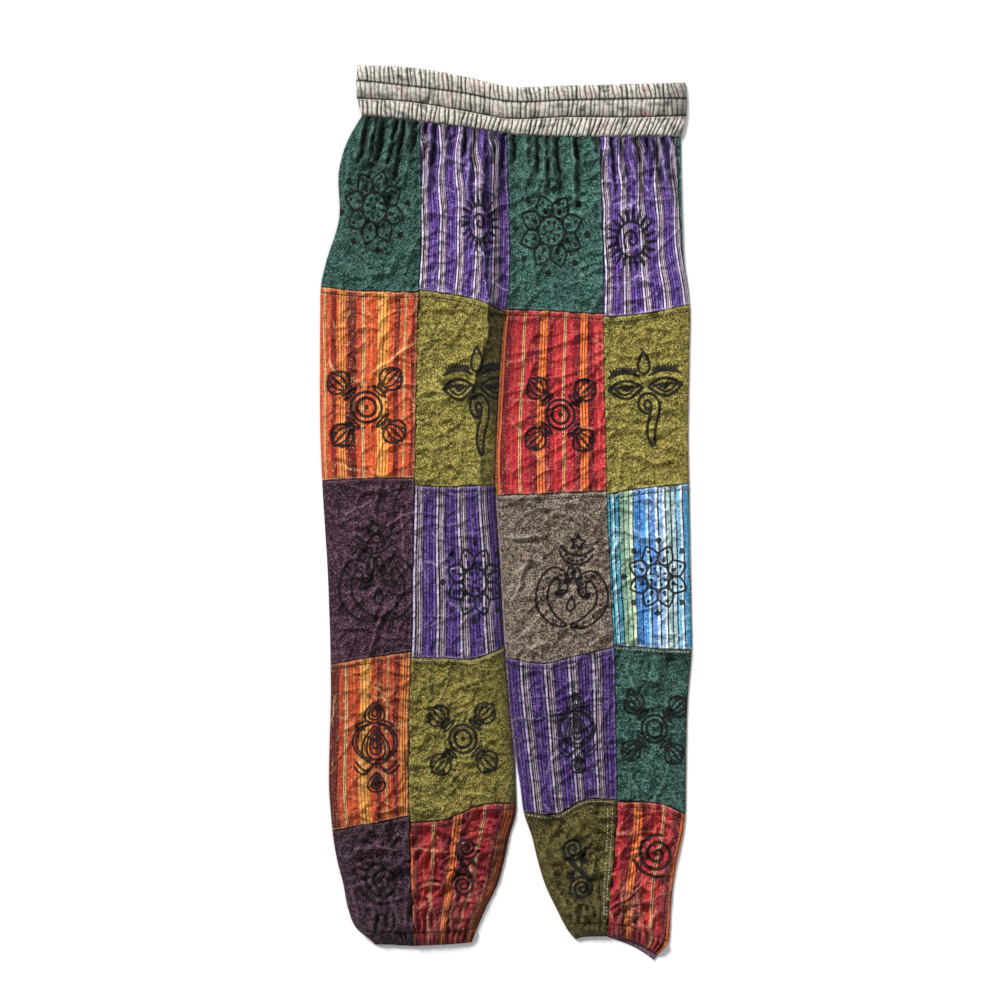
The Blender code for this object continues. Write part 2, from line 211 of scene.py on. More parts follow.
@dataclass(frozen=True)
class StripedCotton:
    """Yarn-dyed warp stripes: each stripe's edge is a thread's width soft, and each yarn varies a little."""

    name: str
    stripes: tuple[tuple[float, str], ...]
    light: str
    weft: tuple[float, float, str] | None = None
    weft_mm: float = 1.6
    thread_mm: float = 1.3

    def material(self) -> bpy.types.Material:
        """Builds the finish from the table of stripes, a width in mm and a colour for each."""
        material, tree, shader = new_cotton(self.name)
        place = cloth_place(tree)
        apart = add_node(tree, "ShaderNodeSeparateXYZ", {"Vector": place})
        waver = noise(tree, place, 0.5, 0.05, detail=1.0)
        across = calculated(tree, "MULTIPLY_ADD", waver, 0.9, apart.outputs["X"])
        repeat = sum(width for width, _ in self.stripes)
        part = calculated(tree, "FRACT", calculated(tree, "MULTIPLY", across, 1 / repeat))
        stops, place_in_repeat = [], 0.0
        for width, colour in self.stripes:
            stops.append((place_in_repeat / repeat, colour))
            place_in_repeat += width
        colours = colour_ramp(tree, part, stops, "CONSTANT")
        if self.weft:
            spacing, strength, weft_colour = self.weft
            pick = calculated(tree, "FRACT", calculated(tree, "MULTIPLY", apart.outputs["Y"], 1 / spacing))
            line = calculated(tree, "LESS_THAN", pick, self.weft_mm / spacing)
            amount = calculated(tree, "MULTIPLY", line, strength)
            colours = mixed(tree, amount, colours, linear(weft_colour))
        yarns = noise(tree, place, 0.75 / self.thread_mm, 0.03, detail=2.0)
        picks_grain = noise(tree, place, 0.45 / self.thread_mm, 0.9 / self.thread_mm, detail=2.0)
        grain = calculated(tree, "ADD", yarns, picks_grain)
        shade = calculated(tree, "MULTIPLY_ADD", flecks(tree, place, 1.0), 0.36, grain)
        darker = spread(tree, shade, 1.14, 0.76)
        colours = mixed(tree, darker, colours, (0.30, 0.28, 0.32, 1.0), "MULTIPLY")
        # Pale rubbed marks turn the stripes paler: abrasion at seam edges, and on ridges partly abrasion and
        # partly a painted highlight.
        paler = spread(tree, lifted(tree, shade, ATTRIBUTE_WEAR_AND_HIGHLIGHT, 0.2), 1.34, 1.80)
        colours = mixed(tree, paler, colours, linear(self.light))
        finish_cotton(tree, shader, colours, place, self.thread_mm, self.light)
        return material


@dataclass(frozen=True)
class BandCotton:
    """Space-dyed cotton gathered over elastic: cream, grey and rose by turns, with painted shade down in the
    gathers.
    """

    name: str
    cream: str
    grey: str
    rose: str
    # The colour of the painted shade down in the gathers.
    painted_shade: str

    def material(self) -> bpy.types.Material:
        """Builds the finish."""
        material, tree, shader = new_cotton(self.name)
        place = cloth_place(tree)
        shades = noise(tree, place, 1 / 34, 1 / 15, detail=2.0)
        stops = [(0.30, self.grey), (0.44, self.cream), (0.60, self.cream), (0.72, self.rose)]
        ramp = colour_ramp(tree, shades, stops)
        yarns = noise(tree, place, 1 / 1.6, 1 / 4.5, detail=3.0)
        marbled = mixed(tree, spread(tree, yarns, 0.50, 0.78), ramp, linear(self.grey))
        # Painted shade: the gathers' valleys and the channel stitch lines are mixed towards a near-black
        # colour.
        painted_shade = attribute(tree, ATTRIBUTE_PAINTED_SHADE)
        deep = mixed(tree, painted_shade, marbled, linear(self.painted_shade))
        shade = noise(tree, place, 1 / 9, 1 / 6, detail=2.0)
        deep = mixed(tree, spread(tree, shade, 0.50, 0.30), deep, (0.55, 0.54, 0.52, 1.0), "MULTIPLY")
        finish_cotton(tree, shader, deep, place, 0.9, self.cream)
        return material


@dataclass(frozen=True)
class SewingThread:
    """Spun polyester sewing thread: a dull sheen, twisted in fine ridges."""

    name: str
    colour: str
    dark: str

    def material(self) -> bpy.types.Material:
        """Builds the finish."""
        material, tree, shader = new_cotton(self.name)
        twist_mm = 0.7
        spot = add_node(tree, "ShaderNodeTexCoord").outputs["Object"]
        ridges = add_node(
            tree, "ShaderNodeTexNoise", {"Vector": spot, "Scale": 1 / (twist_mm * MM), "Detail": 2.0}
        )
        stops = [(0.35, self.dark), (0.65, self.colour)]
        ramp = colour_ramp(tree, ridges.outputs[0], stops)
        tree.links.new(ramp, shader.inputs["Base Color"])
        shader.inputs["Roughness"].default_value = 0.6
        return material


# The pieces' own numbers: the first marks pale rubbed places, partly real abrasion and partly a painted
# highlight on ridges; the second marks painted shade.
ATTRIBUTE_WEAR_AND_HIGHLIGHT = "wear_and_highlight"
ATTRIBUTE_PAINTED_SHADE = "painted_shade"
ATTRIBUTE_INK = "ink"
CLOTH_MAP = "cloth_mm"
INK = "#0d0a10"


def new_cotton(name: str) -> tuple[bpy.types.Material, Tree, bpy.types.Node]:
    """Starts a cotton material with a rough, slightly napped surface.

    Args:
        name: The finish's name.

    Returns:
        The material, its tree and its shader.
    """
    material = bpy.data.materials.new(name)
    material.use_nodes = True
    tree = material.node_tree
    shader = tree.nodes["Principled BSDF"]
    surface = {
        "Roughness": 0.88, "IOR": 1.5, "Specular IOR Level": 0.22,
        "Sheen Weight": 0.10, "Sheen Roughness": 0.5,
    }
    for socket, value in surface.items():
        shader.inputs[socket].default_value = value
    return material, tree, shader


def cloth_place(tree: Tree) -> Socket:
    """Reads a point's place on the flat cloth, in mm."""
    return add_node(tree, "ShaderNodeUVMap", uv_map=CLOTH_MAP).outputs["UV"]


def attribute(tree: Tree, name: str) -> Socket:
    """Reads one of the piece's own numbers."""
    return add_node(tree, "ShaderNodeAttribute", attribute_name=name).outputs["Fac"]


def noise(tree: Tree, place: Socket, across: float, along: float, detail: float) -> Socket:
    """Adds noise on the cloth with its own scale across and along the warp.

    Args:
        tree: The material's tree.
        place: The place on the cloth, in mm.
        across: Noise cells for each mm across.
        along: Noise cells for each mm along.
        detail: How much finer noise rides on it.

    Returns:
        The noise's value, about 0.5 on average.
    """
    scaled = add_node(
        tree, "ShaderNodeMapping", {"Vector": place, "Scale": (across, along, 1.0)}, vector_type="POINT"
    )
    made = add_node(
        tree, "ShaderNodeTexNoise",
        {"Vector": scaled.outputs[0], "Scale": 1.0, "Detail": detail, "Roughness": 0.6},
        noise_dimensions="2D",
    )
    return made.outputs[0]


def flecks(tree: Tree, place: Socket, size_mm: float) -> Socket:
    """Adds crisp square flecks of one thread's size, each with its own value from 0 to 1."""
    snapped = add_node(
        tree, "ShaderNodeVectorMath", {0: place, 1: (size_mm, size_mm, 1.0)}, operation="SNAP"
    )
    return add_node(
        tree, "ShaderNodeTexWhiteNoise", {"Vector": snapped.outputs[0]}, noise_dimensions="2D"
    ).outputs["Value"]


def spread(tree: Tree, value: Socket, low: float, high: float) -> Socket:
    """Maps the values from low to high onto 0 to 1."""
    return add_node(
        tree, "ShaderNodeMapRange", {"Value": value, "From Min": low, "From Max": high}, clamp=True
    ).outputs[0]


def lifted(tree: Tree, value: Socket, name: str, amount: float) -> Socket:
    """Adds an amount of one of the piece's own numbers to a value."""
    return calculated(tree, "MULTIPLY_ADD", attribute(tree, name), amount, value)


def mixed(
    tree: Tree, amount: Socket, colour: Socket, other: tuple[float, ...], blend: str = "MIX"
) -> Socket:
    """Mixes a colour with another by an amount from 0 to 1."""
    factor, first, second, result = 0, 6, 7, 2
    links = {factor: amount, first: colour, second: other}
    return add_node(tree, "ShaderNodeMix", links, data_type="RGBA", blend_type=blend).outputs[result]


def colour_ramp(
    tree: Tree,
    value: Socket,
    stops: Sequence[tuple[float, str]],
    interpolation: str = "LINEAR",
) -> Socket:
    """Turns a value into a colour.

    Args:
        tree: The material's tree.
        value: The value, 0 to 1.
        stops: A place and a hex colour for each stop.
        interpolation: LINEAR or CONSTANT.

    Returns:
        The colour.
    """
    ramp = add_node(tree, "ShaderNodeValToRGB", {"Fac": value})
    ramp.color_ramp.interpolation = interpolation
    elements = ramp.color_ramp.elements
    while len(elements) > 1:
        elements.remove(elements[-1])
    for i, (place, colour) in enumerate(stops):
        element = elements[0] if i == 0 else elements.new(place)
        element.position = place
        element.color = linear(colour)
    return ramp.outputs["Color"]


def finish_cotton(
    tree: Tree,
    shader: bpy.types.Node,
    colour: Socket,
    place: Socket,
    thread_mm: float,
    light: str,
) -> None:
    """Paints the pale rubbed marks and the painted shade, prints the ink over the cloth's colour and gives
    the surface its weave.

    Args:
        tree: The material's tree.
        shader: The material's shader.
        colour: The cloth's colour.
        place: The place on the cloth, in mm.
        thread_mm: How far apart the threads are drawn.
        light: The colour that rubbed seam edges and ridges turn; on ridges it is partly a painted highlight.
    """
    # Pale rubbed marks: real abrasion at seam edges, and on crease and crumple ridges partly abrasion and
    # partly a painted highlight.
    rub = noise(tree, place, 0.55, 0.55, detail=2.0)
    patchy = spread(tree, rub, 0.36, 0.60)
    rubbed = calculated(tree, "MULTIPLY", attribute(tree, ATTRIBUTE_WEAR_AND_HIGHLIGHT), patchy, use_clamp=True)
    colour = mixed(tree, calculated(tree, "MULTIPLY", rubbed, 0.75), colour, linear(light))
    ragged = noise(tree, place, 0.9, 0.9, detail=2.0)
    ink_depth = calculated(tree, "MULTIPLY_ADD", ragged, 0.9, attribute(tree, ATTRIBUTE_INK))
    thin = calculated(tree, "MULTIPLY", spread(tree, ink_depth, 0.92, 0.58), 0.93)
    # Painted shade: the colour is multiplied towards near black in creases, gathers, seams, stitch grooves
    # and along edges that roll under.
    painted_shade = calculated(tree, "MULTIPLY", attribute(tree, ATTRIBUTE_PAINTED_SHADE), 0.6)
    shaded = mixed(tree, painted_shade, colour, (0.12, 0.11, 0.13, 1.0), "MULTIPLY")
    printed = mixed(tree, thin, shaded, linear(INK))
    tree.links.new(printed, shader.inputs["Base Color"])
    warp = noise(tree, place, 1 / thread_mm, 0.25 / thread_mm, detail=2.0)
    weft = noise(tree, place, 0.25 / thread_mm, 1 / thread_mm, detail=2.0)
    weave = {"Height": calculated(tree, "ADD", warp, weft), "Strength": 0.4, "Distance": 0.28 * MM}
    bump = add_node(tree, "ShaderNodeBump", weave)
    tree.links.new(bump.outputs[0], shader.inputs["Normal"])


PURPLE_STRIPES = (
    (2.0, "#f0e2ff"), (1.9, "#10081e"), (1.2, "#c4a8a8"), (1.1, "#160c28"), (1.2, "#eadcf6"),
    (1.1, "#160c28"), (1.1, "#b494a8"), (1.6, "#180e30"), (2.1, "#6440a0"), (1.3, "#160c28"),
    (2.2, "#7a50b4"), (1.2, "#160c28"), (2.1, "#573690"), (1.3, "#160c28"), (2.0, "#845cbc"),
    (1.7, "#10081e"),
)
ORANGE_STRIPES = (
    (4.5, "#d4552f"), (0.7, "#e6cc8e"), (0.9, "#61501f"), (0.7, "#e6cc8e"), (6.0, "#cf4d2b"),
    (5.8, "#842424"), (3.0, "#d8632f"), (1.2, "#f4b452"), (1.6, "#b8402a"), (1.2, "#f4b452"),
    (1.6, "#b8402a"), (1.1, "#f4b452"), (2.4, "#b33d28"), (9.5, "#702422"), (6.6, "#cb4a2a"),
    (0.8, "#ecd498"), (1.0, "#61501f"), (0.8, "#ecd498"), (6.6, "#d9532b"), (1.0, "#e8843a"),
    (6.0, "#cf4d2b"), (2.3, "#fcb858"), (1.1, "#c44e2a"), (2.3, "#ffc868"), (1.1, "#c44e2a"),
    (2.4, "#fcb858"), (1.0, "#c44e2a"), (2.3, "#f0a040"), (6.0, "#dd5a2e"), (6.0, "#862a24"),
)
RED_STRIPES = (
    (0.9, "#eccb84"), (0.9, "#4d2a1a"), (0.9, "#e6c27a"), (8.6, "#c02a3a"), (0.9, "#7c1a2c"),
    (2.2, "#981c2c"), (0.9, "#6c1626"), (3.0, "#84182a"), (1.1, "#641424"), (1.9, "#fb8438"),
    (1.1, "#8e1d26"), (2.0, "#ff9a44"), (1.1, "#8e1d26"), (1.9, "#fb7a34"), (1.0, "#641424"),
    (4.2, "#801626"), (1.0, "#641424"), (5.0, "#b62434"), (0.9, "#e0562e"), (7.2, "#c42a38"),
)
BLUE_STRIPES = (
    (1.9, "#2f90a8"), (1.4, "#0c2438"), (2.1, "#56b4c8"), (1.3, "#e0f2ee"), (1.7, "#0f2c42"),
    (2.9, "#45a0bc"), (1.7, "#10283e"), (3.6, "#7fa58a"), (1.5, "#2c4e48"), (3.8, "#a2c4a0"),
    (1.4, "#35594e"), (3.3, "#dcecc4"), (1.4, "#174068"), (5.7, "#3c84c8"), (1.4, "#16346a"),
    (6.2, "#4a92dc"), (2.6, "#b4e8f6"), (1.7, "#132c58"), (5.7, "#5f94dc"), (2.6, "#eafafa"),
    (1.7, "#122a50"), (4.0, "#92c0ec"), (2.3, "#fbffff"), (1.7, "#10264c"), (4.3, "#acd0c6"),
    (1.5, "#162e4c"), (3.8, "#bcd8e0"), (1.7, "#122a50"), (3.8, "#84ccec"), (2.1, "#f2ffff"),
    (1.5, "#122a50"), (3.8, "#4a9ad4"),
)

FINISHES = {
    Cloth.GREEN: PlainCotton("Stonewashed_green_cotton", "#234b45", "#091c1b", "#6f9c8e"),
    Cloth.OLIVE: PlainCotton("Stonewashed_olive_cotton", "#786c2b", "#322e11", "#c4b866"),
    Cloth.PLUM: PlainCotton("Stonewashed_plum_cotton", "#3a1b2c", "#180b14", "#8c6a7c", fleck=0.12),
    Cloth.TAUPE: PlainCotton("Stonewashed_taupe_cotton", "#625043", "#291f19", "#b5a796"),
    Cloth.PURPLE_STRIPE: StripedCotton("Purple_warp_striped_cotton", PURPLE_STRIPES, "#cfc0ea"),
    Cloth.ORANGE_STRIPE: StripedCotton("Orange_warp_striped_cotton", ORANGE_STRIPES, "#f7c98c"),
    Cloth.RED_STRIPE: StripedCotton(
        "Red_warp_striped_cotton", RED_STRIPES, "#f0a088", weft=(17.0, 0.22, "#e0552f")
    ),
    Cloth.BLUE_STRIPE: StripedCotton("Blue_warp_striped_cotton", BLUE_STRIPES, "#eef8f8"),
    Cloth.BAND: BandCotton("Space_dyed_waistband_cotton", "#ebe5d8", "#96928c", "#dcc0b6", "#12100e"),
}
DARK_THREAD = SewingThread("Dark_brown_sewing_thread", "#2c1a18", "#0f0908")
PALE_THREAD = SewingThread("Undyed_sewing_thread", "#d8cfb8", "#7d7566")


@dataclass(frozen=True)
class Section:
    """How far across each long line is at one place down the legs."""

    down: float
    side_a: float
    seam_a: float
    inside_a: float
    inside_b: float
    seam_b: float
    side_b: float


@dataclass(frozen=True)
class RowSeam:
    """How far down a cross seam is at four places from the left to the right of its column."""

    above_row: int
    column: int
    left: float
    third: float
    two_thirds: float
    right: float


@dataclass(frozen=True)
class BandStation:
    """How far down the waistband's edges and stitch lines are at one place across."""

    across: float
    top: float
    stitch_1: float
    stitch_2: float
    bottom: float


SECTIONS = (
    Section(54.5, -158, -94.5, 1.5, 1.8, 102.5, 192.5),
    Section(84, -174.5, -94, 1.5, 1.8, 103.5, 192.5),
    Section(116, -183.5, -93, 2, 2.3, 104, 192.5),
    Section(169, -183.5, -92.5, 3.5, 3.8, 105.5, 193.5),
    Section(217.5, -198, -94, 4.5, 4.8, 107, 196),
    Section(243.5, -203.5, -95.5, 3.5, 3.8, 107, 200),
    Section(269, -204, -96.5, 0, 0.6, 107, 202.5),
    Section(308.5, -204.4, -97.5, -4.5, -3, 107.5, 202),
    Section(405.5, -204, -99, -10, -8.5, 109.5, 200.5),
    Section(467, -201.5, -100.5, -11.5, -9.5, 111, 201.5),
    Section(555, -196, -102, -6, -4, 114.5, 203),
    Section(606.5, -194, -103, -3.5, -1.5, 117, 204),
    Section(643, -193, -104, -1, 1, 119, 204.4),
    Section(698, -192.5, -105.7, 3, 4.5, 120.5, 200),
    Section(749.5, -194, -106.5, 8, 10.5, 121.5, 198.5),
    Section(793.5, -194.5, -106.5, 11, 16, 122, 198),
    Section(822.5, -192.5, -106, 11, 20, 122, 197.5),
    Section(847.5, -190, -105.5, 4, 28.5, 120.5, 194.5),
    Section(874, -185.5, -105, -1.5, 35, 118, 188.5),
    Section(901.5, -178.5, -104, -9.5, 43.5, 115, 184),
    Section(927, -173.5, -102.5, -22, 55.5, 113.5, 181.5),
    Section(949, -164, -101, -31.5, 67, 112.5, 180.5),
    Section(964, -146, -100, -37, 78.5, 112.5, 178.5),
    Section(984, -138.5, -99, -39.5, 88, 113, 162),
)
ROW_SEAMS = (
    RowSeam(2, 1, 243.5, 247.5, 249, 249),
    RowSeam(2, 2, 247.5, 251.5, 258.5, 272),
    RowSeam(2, 3, 268.5, 269.5, 271.5, 273.5),
    RowSeam(2, 4, 276.5, 275, 270, 263),
    RowSeam(3, 1, 457, 455, 454, 454),
    RowSeam(3, 2, 461.5, 463.5, 462.5, 461.5),
    RowSeam(3, 3, 473, 471.5, 469.5, 468),
    RowSeam(3, 4, 471.5, 466.5, 462.5, 459.5),
    RowSeam(4, 1, 658.5, 653, 648.5, 644),
    RowSeam(4, 2, 651, 651.5, 652, 639),
    RowSeam(4, 3, 651, 657, 648.5, 639.5),
    RowSeam(4, 4, 638, 639.5, 641.5, 642.5),
    RowSeam(5, 1, 842, 836, 831, 824.5),
    RowSeam(5, 2, 832, 828.5, 812.5, 811),
    RowSeam(5, 3, 821, 823, 807, 807),
    RowSeam(5, 4, 809, 809, 812, 823.5),
    RowSeam(6, 1, 966.5, 966.5, 967.5, 968),
    RowSeam(6, 2, 968, 967, 966, 964),
    RowSeam(6, 3, 960.5, 958, 957.5, 957.5),
    RowSeam(6, 4, 957.5, 960.5, 969, 978.5),
)
BACK_HEM = RowSeam(6, 4, 958.5, 966, 975, 983.5)
BAND_STATIONS = (
    BandStation(-165, 0.0, 16.5, 36.5, 54),
    BandStation(-105.5, 2.5, 23, 40.5, 60.5),
    BandStation(-45, 12.5, 31, 50.5, 68),
    BandStation(4.5, 23.5, 40, 59, 75.5),
    BandStation(65, 22.5, 38.5, 57, 78.5),
    BandStation(131, 21, 37, 57.5, 78.5),
    BandStation(199.5, 19, 36.5, 55.5, 78),
)


class CreaseForm(Enum):
    """How the cloth stands along a crease."""

    RIDGE = "ridge"
    TROUGH = "trough"
    STEP = "step"


RELIEF = 1.35
STEP_FALL = 0.7
# RUBBED_WIDTH is the width of a ridge's pale top, partly abrasion and partly a painted highlight. SHADES,
# FINE_SHADE and BROAD_SHADE set the painted shade in creases and crumple valleys.
RUBBED_WIDTH = 0.95
SHADES = {CreaseForm.TROUGH: 0.32, CreaseForm.RIDGE: 0.20, CreaseForm.STEP: 0.40}
BELL_SLIMNESS = 2.2
FINE_SHADE, BROAD_SHADE = -0.02, -0.05
BROAD_CRUMPLE = (34, 120)


@dataclass(frozen=True)
class Crease:
    """One crease, from a place to another, with its own width and height, how pale its top is drawn (partly
    abrasion, partly a painted highlight) and how much painted shade it lays down.

    A step stands up on the left of its direction and falls off sharply to the right.
    """

    from_across: float
    from_down: float
    to_across: float
    to_down: float
    width: float
    height: float
    form: CreaseForm = CreaseForm.RIDGE
    wear_and_highlight: float = 0.3
    bow: float = 0.0
    # How far the painted shade reaches on a step's low side, in mm.
    lee: float = 6.0

    def measure(self, across: Array, down: Array) -> tuple[Array, Array]:
        """Finds where points lie beside the crease.

        Args:
            across: The points' places across.
            down: The points' places down.

        Returns:
            The signed distance aside, and how much of the crease is there, 0 to 1.
        """
        run_across = self.to_across - self.from_across
        run_down = self.to_down - self.from_down
        run = math.hypot(run_across, run_down)
        part = ((across - self.from_across) * run_across + (down - self.from_down) * run_down) / run**2
        aside = ((across - self.from_across) * run_down - (down - self.from_down) * run_across) / run
        aside = aside - self.bow * 4 * np.clip(part, 0, 1) * (1 - np.clip(part, 0, 1))
        aside = aside + 0.9 * np.sin(part * run / 5.5 + run_down) + 0.4 * np.sin(part * run / 2.1)
        taper = np.clip(np.minimum(part, 1 - part) * 4 + 0.15, 0, 1)
        return aside, taper * taper * (3 - 2 * taper)

    def reaches(self, across: Array, down: Array) -> Array:
        """Says which points are near enough for the crease to count."""
        reach = abs(self.width) * 3 + 4
        low_across, high_across = sorted((self.from_across, self.to_across))
        low_down, high_down = sorted((self.from_down, self.to_down))
        beside = (across > low_across - reach) & (across < high_across + reach)
        return beside & (down > low_down - reach) & (down < high_down + reach)

    def lift(self, across: Array, down: Array) -> Array:
        """Says how far the crease lifts the cloth."""
        aside, there = self.measure(across, down)
        if self.form is CreaseForm.STEP:
            left = np.where(aside < 0, np.exp(aside / self.width), np.exp(-np.maximum(aside, 0) / STEP_FALL))
            return self.height * left * there
        peak = bell(aside * BELL_SLIMNESS, 0, self.width)
        if self.form is CreaseForm.TROUGH:
            return -RELIEF * self.height * peak * there
        beside = bell(aside, 0.75 * self.width, 0.45 * self.width)
        return RELIEF * self.height * (peak - 0.3 * beside) * there

    def rubbed(self, across: Array, down: Array) -> Array:
        """Says how much the crease's top is drawn pale: partly abrasion, partly a painted highlight."""
        aside, there = self.measure(across, down)
        return 1.3 * self.wear_and_highlight * bell(aside, 0, RUBBED_WIDTH) * there

    def shaded(self, across: Array, down: Array) -> Array:
        """Says how much painted shade lies in a trough, beside a ridge or in a step's lee."""
        aside, there = self.measure(across, down)
        depth = SHADES[self.form] * self.height
        if self.form is CreaseForm.TROUGH:
            return depth * bell(aside * BELL_SLIMNESS, 0, self.width) * there
        if self.form is CreaseForm.RIDGE:
            return depth * bell(aside, 0.8 * self.width, 0.4 * self.width) * there
        return depth * np.exp(-aside / self.lee) * (aside > 0) * there


@dataclass
class Draft:
    """The drafted lines of the trousers, and how high each place of the front lies."""

    back_wall: float = 1.2
    layer_gap: float = 0.3
    front_wall: float = 1.4
    loft: float = 2.6
    edge_roll: float = 12.0
    crotch_down: float = 275.0
    hem_down: float = 966.0
    waist_rise: float = 28.0
    hem_rise: float = 24.0
    side_roll_width: float = 5.5
    side_roll_start: float = 80.0
    side_roll_end: float = 262.0
    hem_row: int = 6
    columns: tuple[tuple[str, str], ...] = (
        ("side_a", "seam_a"), ("seam_a", "inside_a"), ("inside_b", "seam_b"), ("seam_b", "side_b"),
    )

    def long_line(self, name: str, down: Array) -> Array:
        """Says how far across a long line is, at places down the legs."""
        return curve([s.down for s in SECTIONS], [getattr(s, name) for s in SECTIONS], down)

    def band_line(self, name: str, across: Array) -> Array:
        """Says how far down a line of the waistband is, at places across."""
        stations = [s.across for s in BAND_STATIONS]
        return curve(stations, [getattr(s, name) for s in BAND_STATIONS], across)

    def cross_line(self, row: int, column: int, s: Array, side: Side) -> Array:
        """Says how far down the seam or edge above a row is.

        Args:
            row: The row below the line, with the hem as row 6.
            column: The column, from 1 at the left.
            s: Fractions across the column.
            side: Front or back.

        Returns:
            The places down.
        """
        if row == 1:
            left, right = self.columns[column - 1]
            down = np.full_like(s, BAND_STATIONS[0].bottom)
            for _ in range(6):
                start = self.long_line(left, down)
                down = self.band_line("bottom", start + s * (self.long_line(right, down) - start))
            return down
        seam = next(r for r in ROW_SEAMS if (r.above_row, r.column) == (row, column))
        if side is Side.BACK and (row, column) == (self.hem_row, BACK_HEM.column):
            seam = BACK_HEM
        return curve((0, 1 / 3, 2 / 3, 1), (seam.left, seam.third, seam.two_thirds, seam.right), s)

    def place(self, row: int, column: int, s: Array, t: Array, side: Side) -> tuple[Array, Array]:
        """Finds a patch's points.

        Args:
            row: The patch's row.
            column: The patch's column.
            s: Fractions across.
            t: Fractions down.
            side: Front or back.

        Returns:
            The places across and down.
        """
        top = self.cross_line(row, column, s, side)
        down = top + (self.cross_line(row + 1, column, s, side) - top) * t
        left, right = self.columns[column - 1]
        start, end = self.long_line(left, down), self.long_line(right, down)
        if side is Side.FRONT and (row, column) == (1, 4):
            left_over = (self.side_roll_end - down) / (self.side_roll_end - self.side_roll_start)
            end = end - self.side_roll_width * np.clip(left_over, 0, 1)
        if column in (2, 3):
            gap = self.long_line("inside_b", down) - self.long_line("inside_a", down)
            spread_over = np.clip(gap / 2 - 0.05, 0, 1.0) * np.clip((4.5 - gap) / 1.5, 0, 1)
            start = start - spread_over * (column == 3)
            end = end + spread_over * (column == 2)
        return start + (end - start) * s, down

    def size(self, row: int, column: int, side: Side) -> tuple[float, float]:
        """Measures a patch's width and length as it lies, through its middle."""
        middle = np.array([0.5])
        left, right = (self.place(row, column, np.array([s]), middle, side)[0][0] for s in (0.0, 1.0))
        top, bottom = (self.cross_line(r, column, middle, side)[0] for r in (row, row + 1))
        return right - left, bottom - top

    def outline_distance(self, column: int, across: Array, down: Array) -> tuple[Array, Array]:
        """Measures how far points are from the leg's outer and inner outline."""
        if column <= 2:
            to_side = across - self.long_line("side_a", down)
            to_inside = self.long_line("inside_a", down) - across
        else:
            to_side = self.long_line("side_b", down) - across
            to_inside = across - self.long_line("inside_b", down)
        return to_side, to_inside + 2 * np.maximum(self.crotch_down - down, 0)

    def front_base(self, column: int, across: Array, down: Array) -> tuple[Array, Array]:
        """Finds how high the front's outer face lies before its creases.

        Args:
            column: The column.
            across: Places across.
            down: Places down.

        Returns:
            The heights, and how freely the cloth can rise there, 0 at an outline to 1.
        """
        to_side, to_inside = self.outline_distance(column, across, down)
        held = rise(to_side, self.edge_roll) * rise(to_inside, self.edge_roll)
        at_waist = 0.3 + 0.7 * rise(down - self.band_line("bottom", across), self.waist_rise)
        at_hem = 0.35 + 0.65 * rise(self.hem_down - down, self.hem_rise)
        flat = self.back_wall + self.layer_gap + self.front_wall
        return flat + held * self.loft * at_waist * at_hem, held


def steps_across(width: float, grid: float, fine_start: bool, fine_end: bool) -> Array:
    """Lays out grid lines, closer together at an edge that rolls over.

    Args:
        width: The piece's width in mm.
        grid: The grid's spacing in mm.
        fine_start: Whether the first edge rolls over.
        fine_end: Whether the last edge rolls over.

    Returns:
        The lines as fractions of the width.
    """
    fine = np.array([0.0, 0.15, 0.4, 0.75, 1.2, 1.8, 2.5]) / width
    start = fine if fine_start else np.array([0.0, 0.35, 0.9, 1.6]) / width
    end = fine if fine_end else np.array([0.0, 0.35, 0.9, 1.6]) / width
    inner = np.linspace(start[-1], 1 - end[-1], max(2, round(width / grid)))
    return np.concatenate((start[:-1], inner, 1 - end[-2::-1]))


